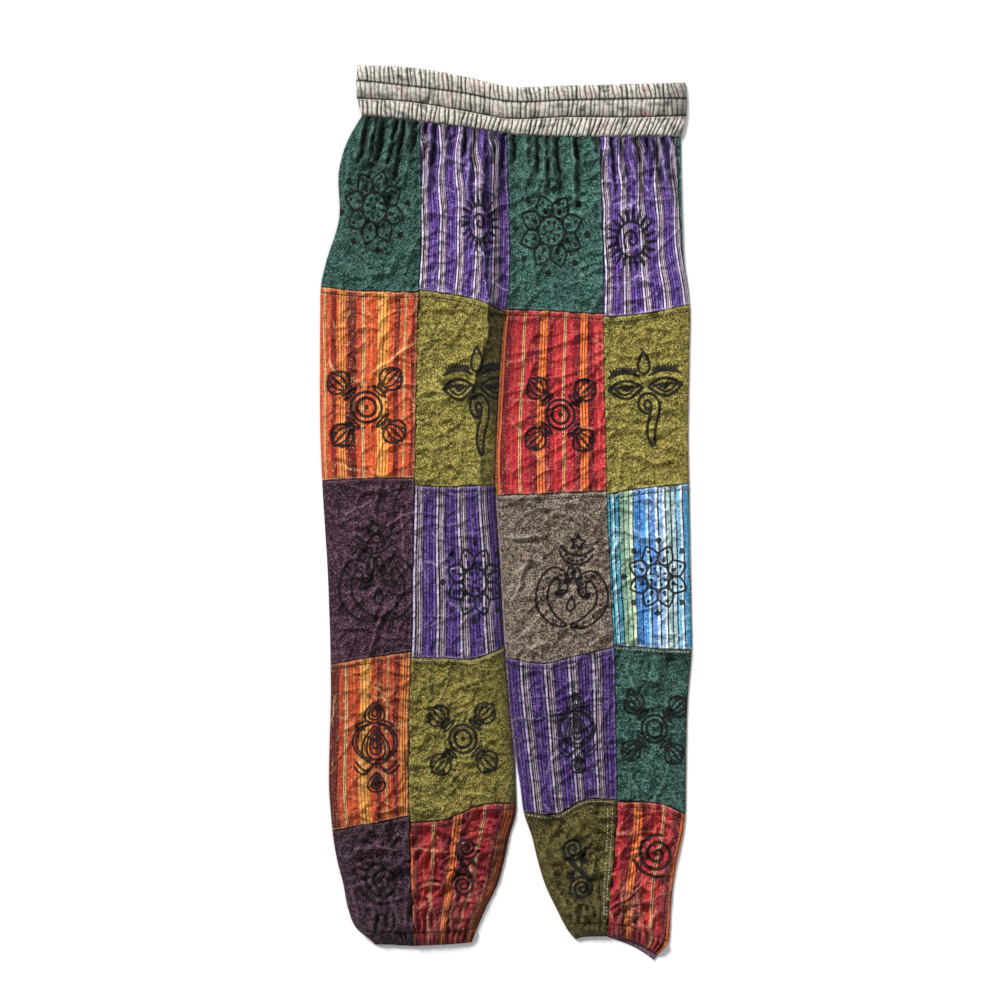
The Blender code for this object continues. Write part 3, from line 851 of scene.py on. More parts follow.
@dataclass
class ClothPiece:
    """A grid of cloth that is shaped by functions of its two fractions, with its own map and numbers."""

    name: str
    cloth: Cloth
    s_lines: Array
    t_lines: Array

    def grid(self) -> tuple[Array, Array]:
        """Gives every vertex's two fractions, in the mesh's own order."""
        t, s = np.meshgrid(self.t_lines, self.s_lines, indexing="ij")
        return s.ravel(), t.ravel()

    def build(
        self,
        points: tuple[Array, Array, Array],
        cloth_map: tuple[Array, Array],
        numbers: dict[str, Array],
        upward: bool = True,
    ) -> bpy.types.Object:
        """Makes the mesh from a bmesh grid and moves its vertices into place.

        Args:
            points: Places across, down and up, in mm.
            cloth_map: Each vertex's place on the flat cloth, in mm.
            numbers: The piece's own numbers for its material.
            upward: Whether the outer face looks up.

        Returns:
            The new object.
        """
        wide, long = len(self.s_lines), len(self.t_lines)
        bm = bmesh.new()
        bmesh.ops.create_grid(bm, x_segments=wide - 1, y_segments=long - 1, size=0.5)
        mesh = bpy.data.meshes.new(self.name)
        bm.to_mesh(mesh)
        bm.free()
        start = np.empty(len(mesh.vertices) * 3, np.float32)
        mesh.vertices.foreach_get("co", start)
        start = start.reshape(-1, 3)
        i = np.rint((start[:, 0] + 0.5) * (wide - 1)).astype(int)
        j = np.rint((0.5 - start[:, 1]) * (long - 1)).astype(int)
        order = j * wide + i
        across, down, up = points
        placed = np.stack([across * MM, (LENGTH / 2 - down) * MM, up * MM], axis=1)[order]
        mesh.vertices.foreach_set("co", placed.astype(np.float32).ravel())
        corners = np.empty(len(mesh.loops), np.int32)
        mesh.loops.foreach_get("vertex_index", corners)
        layer = mesh.uv_layers.new(name=CLOTH_MAP)
        flat_place = np.stack(cloth_map, axis=1)[order][corners]
        layer.uv.foreach_set("vector", flat_place.astype(np.float32).ravel())
        for name in (ATTRIBUTE_WEAR_AND_HIGHLIGHT, ATTRIBUTE_PAINTED_SHADE, ATTRIBUTE_INK):
            values = numbers.get(name)
            if values is None:
                values = np.full(len(order), 9.0 if name == ATTRIBUTE_INK else 0.0)
            made = mesh.attributes.new(name, "FLOAT", "POINT")
            made.data.foreach_set("value", values[order].astype(np.float32))
        if not upward:
            mesh.flip_normals()
        mesh.shade_smooth()
        mesh.materials.append(material_of(FINISHES[self.cloth]))
        piece = bpy.data.objects.new(self.name, mesh)
        bpy.context.scene.collection.objects.link(piece)
        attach(piece, "root")
        return piece


def material_of(finish: PlainCotton | StripedCotton | BandCotton | SewingThread) -> bpy.types.Material:
    """Gives a finish's material, made once."""
    return bpy.data.materials.get(finish.name) or finish.material()


def crumple(across: Array, down: Array, seed: int, finest_mm: float, coarsest_mm: float) -> Array:
    """Says how high crumpled cloth stands, as sharp ridges between soft hollows.

    Args:
        across: Places across.
        down: Places down.
        seed: The crumple's own seed.
        finest_mm: The shortest wave.
        coarsest_mm: The longest wave.

    Returns:
        Heights from about -0.6 to 1.
    """
    rng = np.random.default_rng(seed)
    total = np.zeros_like(across)
    for _ in range(3):
        waves = np.zeros_like(across)
        for _ in range(9):
            turn, phase = rng.uniform(0, math.pi), rng.uniform(0, 2 * math.pi)
            length = math.exp(rng.uniform(math.log(finest_mm), math.log(coarsest_mm)))
            along = (across * math.cos(turn) + down * math.sin(turn)) * 2 * math.pi / length
            waves += np.sin(along + phase + 1.3 * np.sin(along * 0.37 + phase))
        total += np.maximum(1 - np.abs(waves) / 2.2, -0.4) ** 3
    return total / 3


RIDGE, TROUGH, STEP = CreaseForm.RIDGE, CreaseForm.TROUGH, CreaseForm.STEP
HAND_CREASES = (
    Crease(-20.5, 88, -26, 186, 14, 4.2, STEP, 0.5, -2, 14),
    Crease(-26, 176, -20.5, 268, 14, 3.8, STEP, 0.5, 0, 14),
    Crease(-20.5, 250, -23, 316, 14, 4.4, STEP, 1.2, 2, 22),
    Crease(-23, 298, -47, 380, 14, 4.0, STEP, 1.2, 3, 30),
    Crease(-40, 370, -26, 470, 16, 2.2, STEP, 0.2, 3, 20),
    Crease(-8, 100, -6, 262, 16, 2.0, TROUGH, 0),
    Crease(-9, 262, -13, 420, 16, 1.2, TROUGH, 0),
    Crease(-153, 345, -95, 303, 5, 1.5, RIDGE, 0.9, 2),
    Crease(-86, 308, -68, 276, 5, 1.6, TROUGH, 0),
    Crease(-94, 312, -80, 313, 4, 1.2, TROUGH, 0),
    Crease(-182, 501, -146, 478, 4, 0.9, RIDGE, 1.0, 2),
    Crease(-136, 508, -96, 489, 4, 1.2, RIDGE, 1.2, 1),
    Crease(-150, 470, -135, 545, 4, 0.7, RIDGE, 0.8),
    Crease(-116, 480, -110, 560, 5, 0.8, RIDGE, 0.8),
    Crease(-196, 516, -180, 560, 5, 0.8, RIDGE, 0.6),
    Crease(-150, 640, -130, 590, 5, 1.0, RIDGE, 0.8),
    Crease(-6, 519, 46, 517, 8, 2.2, RIDGE, 1.0),
    Crease(-2, 524, 44, 524, 6, 1.2, TROUGH, 0),
    Crease(25, 536, 4, 596, 7, 2.2, RIDGE, 1.0, 1),
    Crease(0, 534, 34, 560, 8, 1.4, TROUGH, 0),
    Crease(4, 640, 50, 592, 8, 1.8, RIDGE, 0.8),
    Crease(2, 650, 60, 626, 7, 1.4, RIDGE, 0.6),
    Crease(96, 699, 40, 716, 9, 2.6, STEP, 0.9, 1),
    Crease(46, 717, 7, 719, 8, 1.8, STEP, 0.8),
    Crease(8, 760, 40, 742, 10, 1.2, RIDGE, 0.3),
    Crease(128, 652, 150, 706, 5, 1.2, RIDGE, 1.0),
    Crease(165, 655, 142, 706, 5, 1.0, RIDGE, 0.8),
    Crease(180, 640, 168, 706, 14, 2.4, TROUGH, 0),
    Crease(122, 694, 170, 700, 9, 1.6, RIDGE, 0.8),
    Crease(136, 770, 150, 826, 6, 1.4, RIDGE, 0.8),
    Crease(176, 776, 158, 822, 6, 1.2, RIDGE, 0.8),
    Crease(-182, 690, -152, 800, 10, 1.6, RIDGE, 0.5, 3),
    Crease(-192, 712, -150, 716, 6, 1.0, TROUGH, 0),
    Crease(-88, 720, -64, 678, 5, 1.3, RIDGE, 1.0),
    Crease(-100, 768, -60, 770, 5, 1.2, RIDGE, 1.0),
    Crease(-50, 800, -10, 802, 6, 1.2, RIDGE, 1.0),
    Crease(-20, 740, 6, 744, 8, 1.4, RIDGE, 0.6),
    Crease(-70, 651, -22, 660, 5, 1.0, RIDGE, 1.0),
    Crease(-188, 338, -150, 350, 10, 0.9, RIDGE, 0.2),
    Crease(118, 330, 134, 356, 6, 1.2, RIDGE, 1.0),
    Crease(112, 402, 190, 396, 8, 1.0, RIDGE, 0.7),
    Crease(112, 410, 190, 405, 8, 0.8, TROUGH, 0),
    Crease(70, 398, 100, 400, 5, 1.0, RIDGE, 0.8),
    Crease(-96, 300, -60, 420, 12, 0.8, RIDGE, 0.1, 6),
    Crease(150, 470, 190, 500, 6, 0.9, RIDGE, 0.7),
    Crease(10, 88, 30, 250, 10, 1.2, RIDGE, 0.4, 4),
    Crease(34, 84, 18, 140, 7, 2.0, RIDGE, 0.7, 2),
    Crease(52, 88, 30, 150, 7, 1.6, RIDGE, 0.6, -2),
    Crease(-172, 84, -190, 200, 12, 1.4, RIDGE, 0.5, 3),
    Crease(-132, 76, -160, 150, 9, 2.0, TROUGH, 0),
    Crease(-124, 70, -140, 170, 8, 2.2, RIDGE, 0.7, 3),
    Crease(-146, 66, -168, 128, 8, 2.2, RIDGE, 0.6, 3),
    Crease(-183, 188, -150, 196, 10, 1.2, RIDGE, 0.3),
    Crease(186, 110, 150, 160, 9, 1.4, RIDGE, 0.3),
    Crease(-182, 868, -150, 884, 7, 1.6, RIDGE, 0.7, 2),
    Crease(-150, 850, -120, 862, 5, 1.4, RIDGE, 1.2, -2),
    Crease(-120, 862, -112, 900, 6, 1.4, TROUGH, 0),
    Crease(-160, 900, -112, 868, 6, 1.6, RIDGE, 1.0, -4),
    Crease(-170, 900, -160, 950, 8, 1.8, RIDGE, 0.6),
    Crease(-140, 920, -150, 956, 7, 1.8, RIDGE, 0.6),
    Crease(-104, 862, -62, 866, 5, 1.2, RIDGE, 1.2, 3),
    Crease(-100, 905, -70, 900, 6, 1.6, RIDGE, 0.8, 2),
    Crease(-80, 866, -84, 900, 6, 1.6, RIDGE, 0.6, 2),
    Crease(-58, 850, -30, 862, 6, 1.6, RIDGE, 0.9, 2),
    Crease(-30, 850, -46, 900, 8, 2.2, RIDGE, 0.6, 3),
    Crease(-4, 838, -22, 900, 9, 2.0, STEP, 0.5),
    Crease(-56, 900, -60, 950, 7, 2.0, RIDGE, 0.6, 2),
    Crease(-26, 906, -44, 952, 7, 2.2, RIDGE, 0.8, 2),
    Crease(-88, 930, -84, 956, 5, 1.8, RIDGE, 0.8, 1),
    Crease(94, 848, 76, 870, 5, 1.6, RIDGE, 1.0),
    Crease(98, 866, 84, 905, 6, 2.0, RIDGE, 0.9, 2),
    Crease(78, 860, 92, 930, 8, 1.8, RIDGE, 0.6, -2),
    Crease(40, 862, 56, 905, 9, 1.6, RIDGE, 0.4),
    Crease(60, 912, 96, 940, 6, 2.0, RIDGE, 0.6, 2),
    Crease(50, 900, 84, 946, 5, 1.4, RIDGE, 0.9),
    Crease(150, 900, 112, 926, 8, 3.0, STEP, 0.9, 2),
    Crease(184, 906, 142, 918, 8, 2.2, STEP, 0.6, 3),
    Crease(112, 926, 118, 942, 5, 2.0, RIDGE, 1.2),
    Crease(148, 900, 132, 944, 8, 2.0, RIDGE, 0.8, 2),
    Crease(166, 920, 150, 955, 7, 2.0, RIDGE, 0.8, 2),
    Crease(182, 880, 176, 950, 9, 2.0, RIDGE, 0.6),
    Crease(190, 845, 160, 905, 10, 1.8, RIDGE, 0.5, 3),
    Crease(112, 845, 170, 842, 6, 0.9, RIDGE, 0.6, 1),
)


@dataclass
class PatchworkLegs:
    """The forty patches: twenty printed ones that show, and twenty behind them that lie on the ground."""

    draft: Draft
    grid_mm: float = 1.15
    back_grid_mm: float = 4.0
    gathers_a_patch: int = 9
    cuff_gathers_a_patch: int = 9
    small_creases: int = 26
    felled_width: float = 7.0
    felled_height: float = 0.55
    stitch_depth: float = 6.2
    casing_height: float = 15.0
    roll_radius: float = 2.1
    waist_fullness: float = 1.3
    soft_height: float = 11.0
    edge_height: float = 3.6
    edge_slope: float = 0.6
    fine_relief: float = 3.2
    broad_relief: float = 9.0
    seam_dip: float = 1.3
    needle_dip: float = 0.35
    lap_height: float = 0.35
    hem_roll: float = 0.7
    cuff_puckers: int = 13
    back_roll: float = 1.2
    ease_across: float = 1.08
    ease_down: float = 1.06
    roughness: tuple[float, ...] = (1.0, 0.9, 1.0, 1.1, 2.0)
    front: tuple[tuple[Cloth, ...], ...] = (
        (Cloth.GREEN, Cloth.PURPLE_STRIPE, Cloth.GREEN, Cloth.PURPLE_STRIPE),
        (Cloth.ORANGE_STRIPE, Cloth.OLIVE, Cloth.RED_STRIPE, Cloth.OLIVE),
        (Cloth.PLUM, Cloth.PURPLE_STRIPE, Cloth.TAUPE, Cloth.BLUE_STRIPE),
        (Cloth.ORANGE_STRIPE, Cloth.OLIVE, Cloth.PURPLE_STRIPE, Cloth.GREEN),
        (Cloth.PLUM, Cloth.RED_STRIPE, Cloth.OLIVE, Cloth.RED_STRIPE),
    )
    back: tuple[tuple[Cloth, ...], ...] = (
        (Cloth.PURPLE_STRIPE, Cloth.GREEN, Cloth.PURPLE_STRIPE, Cloth.GREEN),
        (Cloth.OLIVE, Cloth.RED_STRIPE, Cloth.OLIVE, Cloth.ORANGE_STRIPE),
        (Cloth.BLUE_STRIPE, Cloth.TAUPE, Cloth.PURPLE_STRIPE, Cloth.PLUM),
        (Cloth.GREEN, Cloth.PURPLE_STRIPE, Cloth.OLIVE, Cloth.ORANGE_STRIPE),
        (Cloth.RED_STRIPE, Cloth.OLIVE, Cloth.RED_STRIPE, Cloth.PLUM),
    )
    phases: dict[tuple[int, int], float] = field(
        default_factory=lambda: {
            (2, 1): 0.0, (4, 1): 30.0, (2, 3): 23.2, (5, 2): 24.7, (5, 4): 2.4, (3, 4): 0.0,
        }
    )
    # How much darker each front patch is drawn, added to its painted shade.
    tones: dict[tuple[int, int], float] = field(
        default_factory=lambda: {
            (1, 1): 0.5, (1, 3): 0.12, (2, 2): 0.05, (2, 4): -0.05, (3, 1): 0.3, (3, 2): 0.6, (3, 3): 0.1,
            (4, 1): 0.52, (4, 2): 0.5, (4, 3): 0.8, (4, 4): 0.5,
            (5, 1): 0.62, (5, 2): 0.7, (5, 3): 1.2, (5, 4): 0.28,
        }
    )
    prints: dict[tuple[int, int], tuple] = field(default_factory=dict)

    def creases(self, row: int, column: int) -> list[Crease]:
        """Gathers a patch's creases: those listed, its gathers, and small ones all over."""
        rng = np.random.default_rng(100 * row + column)
        found = list(HAND_CREASES)
        if row == 1:
            for k in range(self.gathers_a_patch):
                s = np.array([(k + rng.uniform(0.2, 0.8)) / self.gathers_a_patch])
                x, y = self.spot(row, column, s, np.zeros(1))
                length = rng.uniform(30, 95)
                fan = 0.10 * (x - 4) + rng.uniform(-6, 6)
                found.append(Crease(
                    x, y - 22, x + fan, y + length, rng.uniform(4.5, 8), rng.uniform(2.6, 5.0),
                    RIDGE, rng.uniform(0.1, 0.8), rng.uniform(-2, 2),
                ))
                x += rng.uniform(3.5, 6)
                found.append(Crease(
                    x, y - 22, x + fan, y + 0.7 * length, rng.uniform(3.5, 6), rng.uniform(2.0, 3.6),
                    TROUGH, 0.0, rng.uniform(-2, 2),
                ))
        if row == 5:
            for k in range(self.cuff_gathers_a_patch):
                s = np.array([(k + rng.uniform(0.2, 0.8)) / self.cuff_gathers_a_patch])
                x, y = self.spot(row, column, s, np.ones(1))
                start = y - self.casing_height + 3
                found.append(Crease(
                    x, start, x + rng.uniform(-7, 7), start - rng.uniform(14, 50),
                    rng.uniform(3.5, 6.5), rng.uniform(1.2, 2.6),
                    RIDGE, rng.uniform(0.2, 0.9), rng.uniform(-2, 2),
                ))
        busy = 2.0 if row == 5 else 1.0
        for _ in range(int(self.small_creases * busy)):
            s, t = rng.uniform(0.05, 0.95, 1), rng.uniform(0.05, 0.95, 1)
            x, y = self.spot(row, column, s, t)
            turn, length = rng.uniform(0, math.pi), rng.uniform(12, 46)
            found.append(Crease(
                x, y, x + length * math.cos(turn), y + length * math.sin(turn),
                rng.uniform(3, 8), rng.uniform(0.15, 0.65) * busy**0.5,
                RIDGE if rng.random() < 0.7 else TROUGH, rng.uniform(0, 0.8), rng.uniform(-3, 3),
            ))
        return found

    def spot(self, row: int, column: int, s: Array, t: Array) -> tuple[float, float]:
        """Finds one place on a front patch, across and down."""
        across, down = self.draft.place(row, column, s, t, Side.FRONT)
        return float(across[0]), float(down[0])

    def front_patch(self, row: int, column: int) -> bpy.types.Object:
        """Makes one front patch.

        Args:
            row: The row, 1 at the waist to 5 at the hem.
            column: The column, 1 at the left.

        Returns:
            The patch.
        """
        width, length = self.draft.size(row, column, Side.FRONT)
        outline_left = column == 1 or (column == 3 and row > 1)
        outline_right = column == 4 or (column == 2 and row > 1)
        piece = ClothPiece(
            f"Front_patch_r{row}c{column}", self.front[row - 1][column - 1],
            steps_across(width, self.grid_mm, outline_left, outline_right),
            steps_across(length, self.grid_mm, False, row == 5),
        )
        s, t = piece.grid()
        across, down = self.draft.place(row, column, s, t, Side.FRONT)
        from_top = down - self.draft.cross_line(row, column, s, Side.FRONT)
        to_bottom = self.draft.cross_line(row + 1, column, s, Side.FRONT) - down
        up, wear_and_highlight, painted_shade = self.creased(row, column, across, down)
        free_edges = [] if outline_left else [s * width]
        if not outline_right:
            free_edges.append((1 - s) * width)
        if row > 1:
            past_felled = smoothstep(self.felled_width - 1, self.felled_width + 0.6, from_top)
            up += self.felled_height * (1 - past_felled)
            up -= self.needle_dip * bell(from_top, self.stitch_depth, 0.7)
            # Painted shade in the topstitch's groove, and a worn pale line at the felled edge.
            painted_shade += 0.45 * bell(from_top, self.stitch_depth, 0.8)
            wear_and_highlight += 0.5 * bell(from_top, self.felled_width, 0.8)
        # Painted shadow just under the waistband's lower edge.
        if row == 1:
            painted_shade += 0.9 * np.exp(-from_top / 3.5)
        # Painted shade where the left leg's inner edge turns under.
        if column == 2 and row > 1:
            painted_shade += 0.75 * np.exp(-((1 - s) * width) / 9)
        if not outline_left:
            up += self.lap_height * (1 - smoothstep(5, 6.5, s * width))
        # Seams and free edges dip, with painted shade along them.
        for distance in [from_top] + ([to_bottom] if row < 5 else []) + free_edges:
            up -= self.seam_dip * bell(distance, 0, 0.75)
            painted_shade += 0.8 * bell(distance, 0, 0.55)
        wear_and_highlight += 0.9 * bell(to_bottom, 1.5, 0.9) * (row < 5)
        wear_and_highlight += 0.8 * bell(from_top, 1.6, 0.9) * (row > 1)
        if not outline_right:
            wear_and_highlight += 0.5 * bell((1 - s) * width, 1.6, 0.8)
        # Painted shade that fades over about 9 mm from each cross seam.
        painted_shade += 0.30 * np.exp(-np.minimum(from_top, to_bottom) / 9) * (row > 1)
        up, painted_shade = self.edged(row, column, (s, across, down), to_bottom, up, painted_shade)
        numbers = {
            ATTRIBUTE_WEAR_AND_HIGHLIGHT: np.clip(wear_and_highlight, 0, 1.4),
            ATTRIBUTE_PAINTED_SHADE: np.clip(painted_shade, 0, 1.5),
            ATTRIBUTE_INK: printed(*self.prints[(row, column)]).inked(across, down),
        }
        wobble = 0.5 * np.sin(down / 21 + 5 * s)
        if row == 1:
            wobble += 3.4 * np.sin(down / 12.5 + s * 8 + column) * np.exp(-from_top / 75)
            wobble += 1.1 * np.sin(down / 5.5 + s * 23) * np.exp(-from_top / 40)
        phase = self.phases.get((row, column), 37.0 * column)
        fullness = self.waist_fullness if row == 1 else 1.0
        cloth_map = (s * width * fullness + wobble + phase, t * length + 211.0 * row)
        made = piece.build((across, down, up), cloth_map, numbers)
        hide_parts(f"front_r{row}c{column}")
        return made

    def creased(self, row: int, column: int, across: Array, down: Array) -> tuple[Array, Array, Array]:
        """Creases and crumples a front patch.

        Args:
            row: The row.
            column: The column.
            across: Places across.
            down: Places down.

        Returns:
            How high each point lies, how pale its marks are drawn (abrasion, and a painted highlight on
            ridges) and how much painted shade it takes.
        """
        up, held = self.draft.front_base(column, across, down)
        wear_and_highlight, lift = np.zeros_like(up), np.zeros_like(up)
        # Painted shade starts from each patch's darkening in the tones table.
        painted_shade = np.full_like(up, self.tones.get((row, column), 0.0))
        for crease in self.creases(row, column):
            near = crease.reaches(across, down)
            if near.any():
                lift[near] += crease.lift(across[near], down[near])
                wear_and_highlight[near] += crease.rubbed(across[near], down[near])
                painted_shade[near] += crease.shaded(across[near], down[near])
        rough = self.roughness[row - 1]
        seed = 10 * row + column
        finest = 15 if row == 5 else 11
        fine = crumple(across, down, seed, finest, 3 * finest)
        broad = crumple(across, down, seed + 500, *BROAD_CRUMPLE)
        lift += rough * (self.fine_relief * fine + self.broad_relief * broad)
        # Crumple crests are drawn paler, a painted highlight, and crumple valleys darker, painted shade.
        wear_and_highlight += 0.9 * np.clip(fine - 0.36, 0, 1) + 0.6 * np.clip(broad - 0.5, 0, 1)
        shade = 0.55 * np.clip(FINE_SHADE - fine, 0, 0.6) + 0.5 * np.clip(BROAD_SHADE - broad, 0, 0.6)
        painted_shade += rough * shade
        up = up + held * lift
        high = np.maximum(up - self.soft_height, 0)
        room = 0.45 * self.soft_height
        return up - high + room * np.tanh(high / room), wear_and_highlight, painted_shade

    def edged(
        self,
        row: int,
        column: int,
        points: tuple[Array, Array, Array],
        to_bottom: Array,
        up: Array,
        painted_shade: Array,
    ) -> tuple[Array, Array]:
        """Rolls a front patch over at the outline, with painted shade along it, and gathers its cuff in row
        5.

        Args:
            row: The row.
            column: The column.
            points: Fractions across, places across and places down.
            to_bottom: Distances to the patch's lower edge.
            up: Heights so far.
            painted_shade: Shade so far.

        Returns:
            The new heights and shade.
        """
        s, across, down = points
        to_side, to_inside = self.draft.outline_distance(column, across, down)
        # The outline rolls under, with painted shade fading in from it.
        for distance in (to_side, to_inside):
            up = up - rolled(distance, self.roll_radius)
            painted_shade = painted_shade + 0.28 * np.exp(-distance / 6)
        to_edge = np.minimum(to_side, to_inside)
        if row == 5:
            up = up - self.hem_roll * rolled(to_bottom, self.roll_radius)
            to_edge = np.minimum(to_edge, to_bottom)
        limit = self.edge_height + self.edge_slope * np.maximum(to_edge, 0)
        up = -np.log(np.exp(-up) + np.exp(-limit))
        if row == 5:
            up, painted_shade = self.cuff(column, s, to_bottom, up, painted_shade)
        return np.maximum(up, self.draft.back_wall - 0.3), painted_shade

    def cuff(self, column: int, s: Array, to_bottom: Array, up: Array, painted_shade: Array) -> tuple[Array, Array]:
        """Gathers the elastic casing at a hem, with painted shade in its stitched groove and between its
        puckers.

        Args:
            column: The column.
            s: Fractions across.
            to_bottom: Distances to the hem.
            up: Heights so far.
            painted_shade: The painted shade so far.

        Returns:
            The new heights and painted shade.
        """
        rng = np.random.default_rng(900 + column)
        within = 1 - smoothstep(self.casing_height - 2, self.casing_height + 2.5, to_bottom)
        pitch = 1 / self.cuff_puckers
        wave = np.zeros_like(s)
        for k in range(self.cuff_puckers + 1):
            middle = (k + rng.uniform(-0.3, 0.3)) * pitch
            lean = rng.uniform(-0.03, 0.03) * (to_bottom / self.casing_height)
            wave += rng.uniform(0.6, 1.2) * bell(s - middle, lean, pitch * 0.27)
        puff = np.sin(math.pi * np.clip(to_bottom / self.casing_height, 0, 1)) ** 0.6
        flat_hem = smoothstep(0, 6, to_bottom)
        up = up + flat_hem * within * (1.2 * puff + 2.8 * (wave - 0.4) * (0.35 + 0.65 * puff))
        # The casing's stitched groove dips; painted shade lies in it and down between the puckers.
        groove = bell(to_bottom, self.casing_height, 1.0)
        up = up - 0.8 * groove
        painted_shade = painted_shade + 0.6 * groove + within * 1.5 * np.clip(0.6 - wave, 0, 1)
        return up, painted_shade

    def back_patch(self, row: int, column: int) -> bpy.types.Object:
        """Makes one back patch, flat on the ground, with its outline turned up to meet the front.

        Args:
            row: The row.
            column: The column.

        Returns:
            The patch.
        """
        draft = self.draft
        width, length = draft.size(row, column, Side.BACK)
        outline_left = column in (1, 3)
        outline_right = column in (2, 4)
        piece = ClothPiece(
            f"Back_patch_r{row}c{column}", self.back[row - 1][column - 1],
            steps_across(width, self.back_grid_mm, outline_left, outline_right),
            steps_across(length, self.back_grid_mm, False, row == 5),
        )
        s, t = piece.grid()
        across, down = draft.place(row, column, s, t, Side.BACK)
        up = np.zeros_like(across)
        to_side, to_inside = draft.outline_distance(column, across, down)
        for distance in (to_side, to_inside):
            up += rolled(distance, self.back_roll)
        if (row, column) == (1, 4):
            strip = draft.side_roll_width + 1.5
            left_over = (draft.side_roll_end - down) / (draft.side_roll_end - draft.side_roll_start)
            over = np.clip(left_over, 0, 1) * np.clip(1 - to_side / strip, 0, 1)
            up += 1.6 * np.sin(math.pi * np.clip(over, 0, 1) ** 0.8)
        to_bottom = draft.cross_line(row + 1, column, s, Side.BACK) - down
        if row == 5:
            up += 0.6 * rolled(to_bottom, self.back_roll)
        from_top = down - draft.cross_line(row, column, s, Side.BACK)
        to_seam = np.minimum(from_top, to_bottom)
        # Painted shade along the cross seams and in crumple valleys; crumple crests are drawn paler as a
        # painted highlight, and the cloth beside the seams is worn pale.
        painted_shade = 0.7 * bell(to_seam, 0, 1.0) * (row > 1)
        seed = 700 + 10 * row + column
        fine = crumple(across, down, seed, 14, 44)
        broad = crumple(across, down, seed + 500, *BROAD_CRUMPLE)
        painted_shade += 0.7 * np.clip(FINE_SHADE - fine, 0, 0.6) + 0.5 * np.clip(BROAD_SHADE - broad, 0, 0.6)
        wear_and_highlight = np.clip(fine - 0.3, 0, 0.7) + 0.7 * bell(to_seam, 2, 2)
        up += 0.7 * np.clip(-0.25 - fine, 0, 0.8) * np.clip(np.minimum(to_side, to_inside) / 6, 0, 1)
        cloth_map = (s * width + 53.0 * column, t * length + 173.0 * row)
        numbers = {ATTRIBUTE_PAINTED_SHADE: np.clip(painted_shade, 0, 1), ATTRIBUTE_WEAR_AND_HIGHLIGHT: np.clip(wear_and_highlight, 0, 1)}
        made = piece.build((across, down, up), cloth_map, numbers, upward=False)
        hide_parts(f"back_r{row}c{column}")
        return made

    def build(self) -> None:
        """Makes all the patches."""
        for row in ROWS:
            for column in COLUMNS:
                made = self.front_patch(row, column)
                LOG.info("%s: %d faces", made.name, len(made.data.polygons))
                self.back_patch(row, column)


